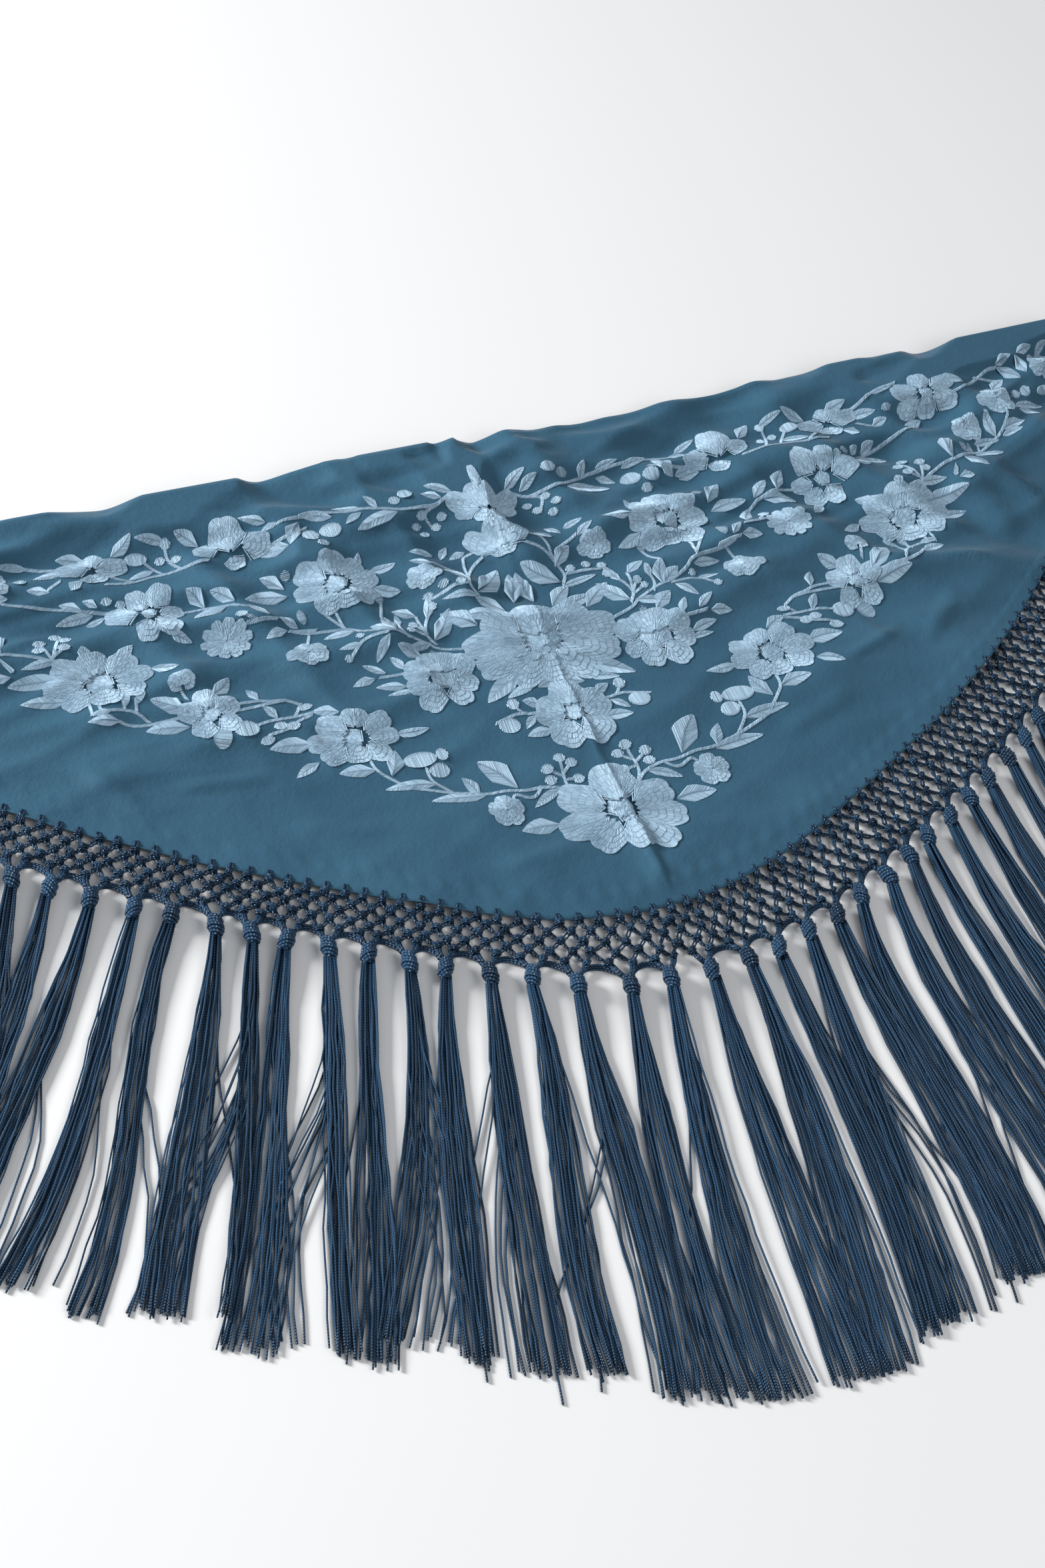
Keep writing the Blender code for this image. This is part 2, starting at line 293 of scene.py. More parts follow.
def new_finish(name, colour, roughness, specular=0.35):
    """A material with its Principled shader. Returns the material, its node tree and the shader."""
    finish = bpy.data.materials.new(name)
    finish.use_nodes = True
    shader = finish.node_tree.nodes["Principled BSDF"]
    set_values(shader, {"Base Color": (*colour, 1.0), "Roughness": roughness})
    set_values(shader, {"Specular IOR Level": specular})
    return finish, finish.node_tree, shader


# Uneven tone: a soft change from one colour to a darker one over a surface, in patches.
tone_tree, tone_in, tone_out = new_group(
    "uneven tone",
    (
        ("Colour", "NodeSocketColor", (0.5, 0.5, 0.5, 1.0)),
        ("Darker", "NodeSocketColor", (0.3, 0.3, 0.3, 1.0)),
        ("Patch", "NodeSocketFloat", 12.0),
        ("Amount", "NodeSocketFloat", 0.5),
    ),
    (("Colour", "NodeSocketColor"),),
)
tone_place = add_node(tone_tree, "TexCoord")
tone_noise = add_node(tone_tree, "TexNoise", {"Detail": 4.0, "Roughness": 0.6})
tone_curve = add_node(tone_tree, "MapRange", {"From Min": 0.35, "From Max": 0.68})
tone_amount = add_math(tone_tree, "MULTIPLY")
tone_mix = add_colour_mix(tone_tree)
join(
    tone_tree,
    (tone_place, "Object", tone_noise, "Vector"),
    (tone_in, "Patch", tone_noise, "Scale"),
    (tone_noise, "Fac", tone_curve, "Value"),
    (tone_curve, "Result", tone_amount, 0),
    (tone_in, "Amount", tone_amount, 1),
    (tone_amount, "Value", tone_mix, "Factor"),
    (tone_in, "Colour", tone_mix, "A"),
    (tone_in, "Darker", tone_mix, "B"),
    (tone_mix, "Result", tone_out, "Colour"),
)


def add_tone(tree, colour, darker, patch, amount):
    """Places the uneven tone in a material, with its own colours and patches."""
    tone = add_node(tree, "Group")
    tone.node_tree = tone_tree
    set_values(tone, {"Colour": (*colour, 1.0), "Darker": (*darker, 1.0)})
    set_values(tone, {"Patch": patch, "Amount": amount})
    return tone


CREPE_BLUE = (0.033, 0.102, 0.162)
CREPE_DARKER = (0.022, 0.076, 0.124)
crepe_finish, crepe_tree, crepe_shader = new_finish("crepe", CREPE_BLUE, roughness=0.62, specular=0.18)
set_values(crepe_shader, {"Sheen Weight": 0.08, "Sheen Roughness": 0.4})
crepe_tone = add_tone(crepe_tree, CREPE_BLUE, CREPE_DARKER, patch=9.0, amount=0.8)
crepe_place = add_node(crepe_tree, "TexCoord")
crepe_grain = add_node(crepe_tree, "TexNoise", {"Scale": 240.0, "Detail": 9.0, "Roughness": 0.7})
crepe_bump = add_node(crepe_tree, "Bump", {"Strength": 0.45, "Distance": 0.0014})
join(
    crepe_tree,
    (crepe_place, "Object", crepe_grain, "Vector"),
    (crepe_grain, "Fac", crepe_bump, "Height"),
    (crepe_bump, "Normal", crepe_shader, "Normal"),
    (crepe_tone, "Colour", crepe_shader, "Base Color"),
)

# The crepe's grid has closer columns towards the middle, where the photo sees it best.
column_share = np.linspace(-1.0, 1.0, CREPE_COLUMNS + 1)
column_u = HALF_WIDTH * (0.6 * column_share + 0.4 * column_share**3)
row_share = np.linspace(0.0, 1.0, CREPE_ROWS + 1)[:, None]
grid_v = short_side(column_u) + (LONG_EDGE - short_side(column_u)) * row_share
grid_x, grid_y = lay(np.broadcast_to(column_u, grid_v.shape), grid_v)
grid = np.stack([grid_x, grid_y, crepe_height(grid_x, grid_y)], -1).reshape(-1, 3)
corner = (np.arange(CREPE_ROWS)[:, None] * (CREPE_COLUMNS + 1) + np.arange(CREPE_COLUMNS)).ravel()
quads = np.stack([corner, corner + 1, corner + CREPE_COLUMNS + 2, corner + CREPE_COLUMNS + 1], -1)
crepe = mesh_piece("crepe_triangle", grid, quads.tolist(), crepe_finish)
crepe_body = crepe.modifiers.new("thickness", "SOLIDIFY")
crepe_body.thickness = CREPE_THICKNESS * METRES
crepe_body.offset = -1.0
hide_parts("cloth")


# Embroidery: flowers, leaves and stems in pale steel blue silk, worked in satin stitch. A petal has
# row after row of stitches side by side, each row an arc further out, and a leaf has slanting ones.
# Each stitch is a thread of its own on the crepe, and both halves carry the same plan, mirrored.
STITCH_PITCH = 0.62
STITCH_HALF_WIDTH = 0.34
STITCH_THICKNESS = 0.3

# How far the laid embroidery is drawn aside: all of it, and the more the further from the middle.
DRAWN_ASIDE = 0.8
DRAWN_WIDER = 0.026

# Threads are numbered in their maps, for a tone of their own, and the numbers start again at this one.
THREAD_NUMBERS = 1999
STITCH_NUMBER_STEP = 0.001
STITCH_NUMBER_SPREAD = 977.0

SILK_PALE = (0.43, 0.60, 0.73)
SILK_DARKER = (0.23, 0.36, 0.46)
# The darkest silk colour is both the stitches' own darker tone and the painted shade where each stitch
# starts.
SILK_DARKEST_AND_SHADE = (0.105, 0.182, 0.262)
silk_finish, silk_tree, silk_shader = new_finish("steel blue silk", SILK_PALE, roughness=0.6)
set_values(silk_shader, {"Sheen Weight": 0.2})
silk_tone = add_tone(silk_tree, SILK_PALE, SILK_DARKER, patch=60.0, amount=0.7)
stitch_map = add_node(silk_tree, "UVMap")
stitch_map.uv_map = "thread"
stitch_split = add_node(silk_tree, "SeparateXYZ")
# Each stitch has a tone of its own, from its number spread out.
stitch_number = add_math(silk_tree, "MULTIPLY", STITCH_NUMBER_SPREAD)
stitch_own = add_node(silk_tree, "TexWhiteNoise")
stitch_own.noise_dimensions = "1D"
stitch_amount = add_math(silk_tree, "MULTIPLY", 0.75)
# Painted shade: each stitch is darker where it comes up through the crepe, under the stitches of the
# next row.
stitch_root_shade = add_node(silk_tree, "MapRange", {"From Max": 0.34, "To Min": 0.95, "To Max": 0.0})
stitch_own_tone_and_shade = add_math(silk_tree, "MAXIMUM")
# This mix gives each stitch its own darker tone and the painted shade at its start.
stitch_colour_and_shade = add_colour_mix(silk_tree)
set_values(stitch_colour_and_shade, {"B": (*SILK_DARKEST_AND_SHADE, 1.0)})
join(
    silk_tree,
    (stitch_map, "UV", stitch_split, "Vector"),
    (stitch_split, "X", stitch_number, 0),
    (stitch_number, "Value", stitch_own, "W"),
    (stitch_own, "Value", stitch_amount, 0),
    (stitch_split, "Y", stitch_root_shade, "Value"),
    (stitch_root_shade, "Result", stitch_own_tone_and_shade, 0),
    (stitch_amount, "Value", stitch_own_tone_and_shade, 1),
    (stitch_own_tone_and_shade, "Value", stitch_colour_and_shade, "Factor"),
    (silk_tone, "Colour", stitch_colour_and_shade, "A"),
    (stitch_colour_and_shade, "Result", silk_shader, "Base Color"),
)

sewing = np.random.default_rng(21)
sewn = {"centre": [], "left": [], "right": []}


def sew(group, start, end, lift):
    """Adds stitches from one line of points in the cut to another, lift millimetres off the crepe."""
    lift = np.broadcast_to(lift, len(start))
    sewn[group].append(np.column_stack([start, end, lift]))


def left_of(way):
    """Vectors square to these, to their left."""
    return np.column_stack([-way[:, 1], way[:, 0]])


def set_out(base, tip):
    """The base, the length from it to the tip, and the directions along and aside of that line."""
    base = np.array(base, float)
    run = np.array(tip, float) - base
    length = np.linalg.norm(run)
    way = run / length
    return base, length, way, np.array((-way[1], way[0]))


def curve_through(points, spacing):
    """Points on a smooth curve through these, evenly spaced at about this distance."""
    points = np.asarray(points, float)
    count = max(4, int(np.linalg.norm(np.diff(points, axis=0), axis=1).sum() / spacing))
    padded = np.vstack([2 * points[0] - points[1], points, 2 * points[-1] - points[-2]])
    t = np.linspace(0.0, 1.0, 9)[:-1, None]
    runs = []
    for a, b, c, d in zip(padded, padded[1:], padded[2:], padded[3:]):
        squared = (2 * a - 5 * b + 4 * c - d) * t**2
        cubed = (3 * b - a - 3 * c + d) * t**3
        runs.append(0.5 * (2 * b + (c - a) * t + squared + cubed))
    dense = np.vstack([*runs, points[-1:]])
    steps = np.concatenate([[0.0], np.cumsum(np.linalg.norm(np.diff(dense, axis=0), axis=1))])
    wanted = np.linspace(0.0, steps[-1], count)
    return np.column_stack([np.interp(wanted, steps, dense[:, i]) for i in (0, 1)])


def leaf(group, base, tip, width, bend, lift=0.16):
    """A pointed leaf: slanting stitches run from its middle vein out to both edges."""
    base, length, way, aside = set_out(base, tip)
    t = np.linspace(0.03, 0.97, max(6, int(length / STITCH_PITCH)))
    vein = base + way * (t * length)[:, None] + aside * (bend * width * np.sin(math.pi * t))[:, None]
    for sign in (-1.0, 1.0):
        reach = np.clip(t + 0.9 * width / length * (1.0 - t), 0.0, 1.0)
        half = 0.5 * width * np.sin(math.pi * reach**0.85) ** 0.75
        edge = base + way * (reach * length)[:, None]
        edge = edge + aside * (bend * width * np.sin(math.pi * reach) + sign * half)[:, None]
        sew(group, vein, edge, lift)


def bud(group, base, tip, width, lift=0.2):
    """A round bud or berry: stitches from edge to edge across it."""
    base, length, way, aside = set_out(base, tip)
    t = np.linspace(0.02, 0.98, max(5, int(length / STITCH_PITCH)))
    half = 0.5 * width * np.sqrt(np.clip(1.0 - (2 * t - 1) ** 2, 0.02, 1.0))
    middle = base + way * (t * length)[:, None]
    sew(group, middle - aside * half[:, None], middle + aside * half[:, None], lift)


def stem(group, points, width=1.5, lift=0.18):
    """A stem in rope stitch: short slanting stitches laid close along a curve."""
    line = curve_through(points, 0.8)
    way = np.gradient(line, axis=0)
    way /= np.linalg.norm(way, axis=1, keepdims=True)
    half = left_of(way) * width / 2
    sew(group, line - way * 0.9 - half, line + way * 0.9 + half, lift)


def petal(group, base, tip, width, rows, lift, scallop=0.07):
    """A rounded petal: stitches fanned out from its base, in rows over a first short one."""
    base, length, way, aside = set_out(base, tip)
    shares = np.linspace(0.05, 1.0, rows + 2) ** 0.85
    for row in range(rows + 1):
        around = math.pi * 0.5 * (width + length) * shares[row + 1]
        t = np.linspace(-1.0, 1.0, max(5, int(around * 0.75 / STITCH_PITCH)))
        wave = 1.0 + scallop * np.abs(np.sin(t * 4.2))
        out = length * (0.28 + 0.72 * np.cos(t * math.pi / 2) ** 0.7) * wave
        over = 0.5 * width * np.sin(t * math.pi / 2 * 0.98) * wave
        spread = way * out[:, None] + aside * over[:, None]
        # Inner rows lie over the outer ones.
        row_lift = lift + 0.18 * (rows + 1 - row)
        sew(group, base + spread * shares[row], base + spread * (shares[row + 1] + 0.01), row_lift)


def flower(group, centre, half_u, half_v, petals, rows, turn, heart=0.45):
    """A round flower: a ring of petals, a smaller ring over it and a heart of knots."""
    centre = np.array(centre, float)
    size = np.array((half_u, half_v), float)
    rings = ((0.18, 1.0, petals, 0.15), (0.0, heart + 0.12, max(4, petals - 2), 0.3))
    for ring, (inner, outer, number, lift) in enumerate(rings):
        for k in range(number):
            angle = math.radians(turn) + 2 * math.pi * (k + 0.5 * ring) / number
            way = np.array((math.cos(angle), math.sin(angle)))
            across = np.array((-way[1], way[0])) * size * outer
            width = 2.25 * math.sin(math.pi / number) * np.linalg.norm(across) * 0.78
            base, tip = centre + way * size * inner, centre + way * size * outer
            petal(group, base, tip, width, rows - ring, lift)
    for k in range(5):
        angle = math.radians(turn + 72 * k)
        spot = centre + 0.14 * size * np.array((math.cos(angle), math.sin(angle)))
        bud(group, spot - (0.9, 0.0), spot + (0.9, 0.0), 1.8, 0.45)


# Petals of the flowers on the middle line, each flower from a new line.
# Columns: u and v of the base, u and v of the tip, width, rows over the first.
MIDDLE_PETALS = (
    (-3, -26, 7, -27, 12, 3), (3, -22, 3, -1, 24, 5), (8, -24, 29, -19, 17, 5),
    (8, -28, 31, -35, 17, 5), (6, -31, 20, -49, 16, 4), (2, -32, 6, -48, 15, 4),
    (-3, -31, -17, -44, 17, 4), (-6, -28, -31, -31, 17, 5), (-5, -23, -25, -11, 18, 5),
    (0, -31, 2, -19, 12, 3),
    (0, 34, 0, 49, 19, 4), (4, 31, 18, 36, 18, 4), (3, 27, 12, 14, 18, 4), (-3, 27, -12, 14, 18, 4),
    (-4, 31, -18, 36, 18, 4), (0, 26, 1, 35, 10, 2),
    (0, 76, 0, 93, 30, 5), (10, 79, 27, 90, 17, 4), (-10, 79, -27, 90, 17, 4),
    (8, 76, 40, 77, 18, 7), (-8, 76, -40, 77, 18, 7), (8, 71, 37, 63, 18, 6),
    (-8, 71, -37, 63, 18, 6), (5, 68, 22, 52, 20, 5), (-5, 68, -22, 52, 20, 5),
    (0, 66, 1, 50, 20, 4), (-9, 68, 9, 69, 13, 3), (0, 69, 0, 82, 26, 4),
    (0, 129, 0, 145, 17, 4), (2, 129, 16, 141, 11, 3), (-2, 129, -16, 141, 11, 3),
    (0, 131, 0, 125, 13, 2),
    (0, 151, 0, 168, 22, 5), (4, 152, 19, 163, 12, 4), (-4, 152, -19, 163, 12, 4),
    (5, 153, 17, 154, 9, 3), (-5, 153, -17, 154, 9, 3), (2, 152, 6, 145, 9, 2),
    (-2, 152, -6, 145, 9, 2), (0, 166, 0, 179, 5, 2),
)
for u0, v0, u1, v1, width, rows in MIDDLE_PETALS:
    petal("centre", (u0, v0), (u1, v1), width, rows, 0.12 + sewing.uniform(0.0, 0.16))

# Petals of the larger flowers on both halves, in the same columns, each flower from a new line.
PETALS = (
    (57, 66, 57, 79, 25, 4), (50, 63, 41, 57, 10, 3), (50, 67, 40, 73, 13, 3),
    (64, 66, 76, 71, 14, 4), (54, 60, 50, 48, 13, 3), (62, 60, 70, 48, 14, 4),
    (66, 62, 77, 60, 11, 3), (54, 58, 59, 70, 18, 3),
    (116, 42, 134, 43, 12, 5), (114, 45, 127, 53, 12, 4), (110, 46, 108, 55, 15, 3),
    (106, 44, 92, 50, 11, 4), (105, 41, 90, 40, 10, 4), (107, 38, 98, 29, 12, 3),
    (112, 37, 113, 28, 14, 3), (117, 39, 129, 32, 12, 4), (108, 39, 116, 45, 12, 3),
    (91, 132, 89, 145, 17, 4), (96, 131, 109, 140, 14, 4), (97, 127, 113, 126, 13, 4),
    (95, 123, 105, 114, 13, 4), (90, 122, 89, 113, 14, 3), (86, 124, 75, 116, 13, 4),
    (85, 128, 70, 129, 13, 4), (86, 132, 75, 140, 13, 4), (88, 124, 94, 132, 13, 3),
    (174, 73, 174, 84, 13, 3), (177, 71, 188, 75, 11, 3), (176, 67, 183, 58, 12, 3),
    (171, 67, 164, 59, 11, 3), (171, 72, 160, 75, 12, 3), (171, 67, 176, 74, 13, 2),
    (222, 104, 239, 113, 14, 5), (219, 105, 220, 117, 17, 4), (214, 104, 200, 113, 14, 5),
    (212, 101, 194, 102, 12, 5), (227, 101, 246, 102, 13, 5), (226, 98, 238, 90, 12, 4),
    (219, 97, 219, 87, 17, 3), (212, 98, 201, 91, 12, 4), (213, 98, 224, 104, 15, 3),
    (136.5, 159, 136.5, 177, 18, 5), (131, 161, 117, 160, 12, 4), (142, 162, 154, 163, 8, 3),
    (136, 158, 134, 151, 11, 2),
    (207, 167, 223, 168, 9, 4), (204, 166, 188, 166, 9, 4), (205, 167, 207, 174, 14, 3),
    (205, 165, 204, 159, 14, 2),
    (183, 136, 174, 149, 12, 4), (187, 136, 190, 148, 12, 3), (191, 134, 206, 137, 12, 4),
    (184, 130, 175, 120, 12, 3), (188, 129, 191, 118, 11, 3), (181, 133, 169, 133, 9, 3),
    (184, 131, 188, 136, 8, 2),
    (266, 170, 266, 180, 14, 3), (270, 169, 286, 173, 10, 4), (270, 166, 284, 161, 10, 3),
    (266, 165, 265, 156, 12, 2), (262, 166, 249, 161, 10, 3), (262, 169, 247, 172, 10, 4),
    (264, 165, 269, 170, 8, 2),
)

# Small round flowers on both halves: centre, half width, half height, petals, rows, turn.
FLOWERS = (
    ((54, -14.5), 9, 8.5, 5, 2, 20),
    ((118.5, 91), 11, 6, 5, 2, 0),
    ((47, 122), 9, 6.5, 5, 2, 50),
    ((153.5, 110), 12.5, 9.5, 10, 2, 0),
    ((183, 91), 7, 4, 3, 1, 90),
    ((281, 142), 10, 6.5, 4, 2, 45),
    ((306, 154), 12, 9, 5, 2, 30),
    ((350, 172), 11, 9, 5, 2, 60),
)
# Leaves on both halves. Columns: u and v of the base, u and v of the tip, width.
LEAVES = (
    (30, -26, 51, -26, 9), (23, -7.5, 39, -14.5, 4.5), (43, -3, 57, 16.5, 13), (63, -3, 68, 9, 6),
    (60, -4, 88, -1.5, 6), (81, 8.5, 107, 11, 5.5), (101, 17, 94, 31.5, 8),
    (107, 21.5, 125, 24, 7.5), (91, 40, 73.5, 39, 4.5), (13, 47, 1, 53, 6), (14, 50, 30, 46, 5),
    (14, 38, 23, 43, 5), (19, 34, 27, 27, 4), (13, 24, 28, 23, 6), (6, 97, 2, 115, 9),
    (13, 92, 26, 103, 8), (15, 88, 37, 95, 7), (30, 88, 46, 100, 8), (18, 58, 40, 46.5, 9),
    (42, 70, 49, 77, 4), (63, 76, 74, 85, 8), (75, 72, 80, 80.5, 4), (90, 70.5, 102, 69, 4.5),
    (84, 72, 94, 79, 4), (77, 62.5, 92, 66, 4.5), (75, 59, 88, 60, 3), (53.5, 86.5, 40.5, 101, 8),
    (53, 98.5, 48, 111.5, 4.5), (58, 101.5, 69, 107.5, 5.5), (55, 86, 71.5, 80.5, 5),
    (68.5, 97, 68, 105, 3.5), (73.5, 91, 76, 105, 8), (74, 91, 84.5, 98.5, 7),
    (92, 98.5, 108, 98.5, 4.5), (91, 89.5, 103, 89.5, 3.5), (78, 90, 87, 80, 4.5),
    (73, 133, 57, 135.5, 5.5), (78, 137, 74, 145, 4), (74, 123, 60, 118, 6), (18, 134, 28, 131, 4),
    (27, 139, 33, 132, 4), (36, 134.5, 48, 138.5, 4), (40, 128, 50, 134, 4), (24, 105, 6, 119, 11),
    (24, 114, 35, 124, 7), (24, 103.5, 43, 106, 3.5), (15, 165, 28, 173, 5),
    (22, 163, 32, 168, 4.5), (47, 160, 71, 155, 7), (57, 164, 62, 173, 4), (67, 167, 81, 170, 3),
    (81, 165, 98, 170, 4.5), (66, 164, 76, 159, 4), (99, 167, 107.5, 155, 8),
    (108, 154, 121, 156, 4.5), (115, 55, 127, 60, 6), (144, 60, 149, 68, 4.5),
    (149.5, 72.5, 153, 81, 5), (131, 43, 153, 44.5, 8.5), (132, 33, 145.5, 27, 5),
    (171.5, 80, 160, 88.5, 7), (184, 73, 199.5, 85, 9), (184.5, 67, 205.5, 70, 8),
    (216, 77, 231, 79.5, 5), (219, 83, 229, 83, 3), (194, 103, 181.5, 98.5, 5),
    (223.5, 111.5, 223, 121.5, 8), (209.5, 113, 198.5, 118, 6), (236, 106, 262, 108, 8),
    (236, 94, 258, 97.5, 6), (236, 116, 253, 115.5, 4), (151, 167, 161.5, 176, 6.5),
    (115, 169.5, 128.5, 175, 4), (110, 168, 119, 165, 4), (110, 153.5, 122.5, 155, 5),
    (166, 172.5, 181, 177.5, 4), (174.5, 161, 188.5, 157.5, 4), (194.5, 170.5, 182, 179.5, 6),
    (206, 171.5, 220.5, 175.5, 6.5), (211, 160.5, 219, 154.5, 7), (219, 167, 234, 165.5, 5),
    (229, 156.5, 239.5, 160, 5.5), (180.5, 121, 170.5, 113, 5), (158, 132.5, 165, 143, 8),
    (143.5, 130, 154, 138.5, 5.5), (148, 129, 166.5, 124.5, 6.5), (131, 115.5, 139, 126, 6),
    (117, 133, 127, 142.5, 8), (117, 128, 139, 130.5, 7.5), (124, 107.5, 135.5, 105.5, 5),
    (118.5, 108, 126.5, 115, 4), (209, 143.5, 215, 148.5, 4), (216, 144, 226, 149, 5),
    (216, 135, 206, 138, 3.5), (211, 140.5, 230.5, 138, 5), (268, 125, 279, 116, 5),
    (276, 125, 295, 124, 4), (280, 133, 298, 133.5, 4), (301, 134, 314, 135, 3.5),
    (302, 138, 317, 139.5, 5), (297, 135, 295, 150, 6), (309, 162, 321, 169, 6),
    (316, 149, 338, 149, 5), (318, 147, 330, 142, 4), (320, 177, 331, 166, 8),
    (333, 180, 336, 169, 7), (320, 178, 331, 181, 4), (335, 180, 349, 185, 4.5),
    (350, 181, 360, 187, 4), (278, 176, 293, 170, 6), (258, 173, 250, 177, 3.5),
    (262, 158, 249, 155, 6), (235, 174, 250, 177, 3), (258, 113, 267, 112, 5),
    (261, 125, 262, 139, 11), (262, 123, 257, 115, 10),
)
# Buds and berries on both halves. Columns: u and v of one end, u and v of the other, width.
BUDS = (
    (14.5, 8, 20.5, 8, 5), (9.5, 4.5, 15.5, 4.5, 5), (23, 3, 29, 3, 5), (9, -4.5, 15, -4.5, 5),
    (23, -2.5, 29, -2.5, 5), (72, 15, 82, 16, 8), (76, 23, 93, 23, 9), (70, 23.5, 76, 23.5, 7),
    (25.5, 42, 31.5, 42, 6), (29, 30.5, 40, 31, 9), (57, 77.5, 57, 81, 4), (46, 105, 50.5, 105, 5),
    (59, 97, 63.5, 97, 4.5), (62, 93.5, 66, 93.5, 4), (72, 114, 73, 121, 5),
    (89, 94.5, 93, 94.5, 4), (98, 84, 102, 84, 4), (86, 139.5, 86, 144.5, 5),
    (114, 138, 114, 142.5, 5), (114.8, 109, 115, 117, 4.5), (28.5, 112, 33.5, 112, 4),
    (37.5, 113, 42.5, 113, 4), (45.5, 111, 50.5, 111, 4), (36, 170, 44, 170, 6),
    (44, 167, 50, 167, 5), (32.5, 157, 37.5, 157, 4), (36.5, 152.5, 41.5, 152.5, 4),
    (33.5, 147.5, 38.5, 147.5, 4), (26, 150.5, 31, 150.5, 4), (22, 154.5, 27, 154.5, 4),
    (79, 158, 90, 159, 8), (91, 158, 100, 157, 8), (88, 151, 94, 151, 5), (154.5, 57, 166.5, 57, 9),
    (134.5, 55, 141, 55, 4.5), (140.5, 56.5, 147, 56, 4.5), (149, 50, 156, 48.5, 4.5),
    (125.5, 64, 133, 64, 3.5), (171, 61, 175, 50, 9), (201, 90, 207, 84.5, 3.5),
    (209, 91.5, 212.5, 84, 4), (226, 128, 232, 128, 4.2), (230, 130.7, 236, 130.7, 4.2),
    (228, 122.5, 234, 122.5, 4.2), (238.5, 127.5, 244.5, 127.3, 4.2), (240, 123.3, 246, 123.3, 4.2),
    (160.8, 163.3, 165.8, 163.3, 4), (168.5, 164.8, 173.5, 164.8, 4), (164, 172, 169, 172, 5),
    (177, 167.5, 188, 168.5, 6), (141, 119.5, 147, 119.7, 4), (195, 142.5, 200, 142.5, 4),
    (201.5, 145, 206.5, 145, 4), (271, 134, 274, 128, 4), (276, 133, 276, 127, 3),
    (320, 157, 326, 158, 5), (327, 157, 333, 160, 6), (338, 157, 348, 159, 5),
    (238, 165, 244, 166, 4),
)
# Stems on both halves, each a run of u and v.
STEMS = (
    ((15, -14), (20, -9), (25, -6.5), (32, -5), (40, -5), (50, -3), (60, -2.5), (75, 1.5), (93, 8),
     (97, 11), (103, 17), (107, 22), (108, 29)),
    ((15, -14), (19, -6), (18, 6)), ((32, -5), (36, -8.5), (40, -9), (46, -6.5), (49, -9)),
    ((75, 1.5), (80, 7), (83, 12), (83, 18)), ((18, 0), (13, 4)), ((19, -2), (25, 2)),
    ((18, -4), (12, -4.5)), ((15, 35), (24, 36), (28.5, 41)), ((24, 36), (30, 36), (41, 33)),
    ((2, 47), (5, 40)), ((34, 69), (47, 68)),
    ((41, 79), (52, 82), (58, 86), (70, 91), (78, 92.5), (88, 97), (95, 101.5), (113, 104),
     (120, 106)),
    ((53, 85), (56.5, 91), (53.5, 98), (48, 105)), ((56.5, 91), (57.5, 95), (58, 102)),
    ((56.5, 91), (61, 97)), ((57, 90), (64, 93.5)), ((67, 89), (69.5, 94), (68, 101)),
    ((76, 104), (72, 114)), ((78, 91), (90, 91), (98, 85)), ((76, 70), (88, 71)),
    ((96, 103), (98, 115)), ((96, 103), (105, 114)), ((14, 133), (21, 130), (23, 119)),
    ((11, 128), (18, 124), (23, 118), (27, 110), (24, 104)), ((24, 118), (30, 124), (40, 129)),
    ((27, 110), (34, 110), (47, 109)),
    ((18, 164), (26, 160), (34, 160), (45, 161), (52, 163), (60, 165), (66, 166), (97, 169),
     (118, 166)),
    ((26, 160), (33, 157), (30, 150)), ((127, 60), (136, 60), (147, 60), (156, 58)),
    ((127, 59), (134, 57), (141, 54), (150, 52), (152, 50)),
    ((131, 66), (137.5, 69.5), (144, 70.5), (151, 72.3), (164, 73)),
    ((138, 69.5), (147.5, 69.5), (163, 69)), ((132, 64), (135, 60.5)), ((182.5, 81.5), (184.5, 88)),
    ((186, 72.5), (202.5, 72.5), (211, 74), (217, 77.5)),
    ((203, 74), (207, 79), (212, 81.8), (219, 83), (228, 83)), ((207.5, 79.5), (206, 86)),
    ((212.5, 81.8), (212, 86)), ((224, 92), (223.5, 83.5)), ((227.5, 92), (228, 83)),
    ((229, 109), (235, 113), (240, 117), (246, 120), (256, 124), (268, 125.5), (280, 127),
     (290, 131), (300, 136), (306, 142), (309, 148)),
    ((238, 116.5), (234, 125), (232, 129)), ((238, 116.5), (241, 125)), ((236, 119), (231, 122)),
    ((118, 157), (104, 160), (96, 163)),
    ((149, 157), (167, 157), (178, 156.5), (187, 155), (201, 156)),
    ((163, 158), (167, 164), (167, 171)), ((172, 158), (179, 166)), ((187, 155), (196, 161)),
    ((219, 170), (228, 172), (240, 176), (252, 178)), ((222, 162), (229, 158)),
    ((110, 105), (123, 107)), ((128, 113.3), (137, 114), (143, 115)), ((138.5, 115), (142.5, 118)),
    ((114, 103), (117, 97)), ((145, 129), (158, 132), (170, 132)),
    ((200, 138.5), (209, 141), (219, 143.8), (229, 146.5), (240, 149), (250, 152), (258, 156)),
    ((139, 125), (145, 129)), ((282, 128), (284, 137)), ((275, 126), (272, 130)),
    ((270, 163), (285, 165), (300, 170), (313, 176), (320, 177)),
    ((303, 173), (312, 171), (319, 169)), ((309, 148), (322, 149)),
)
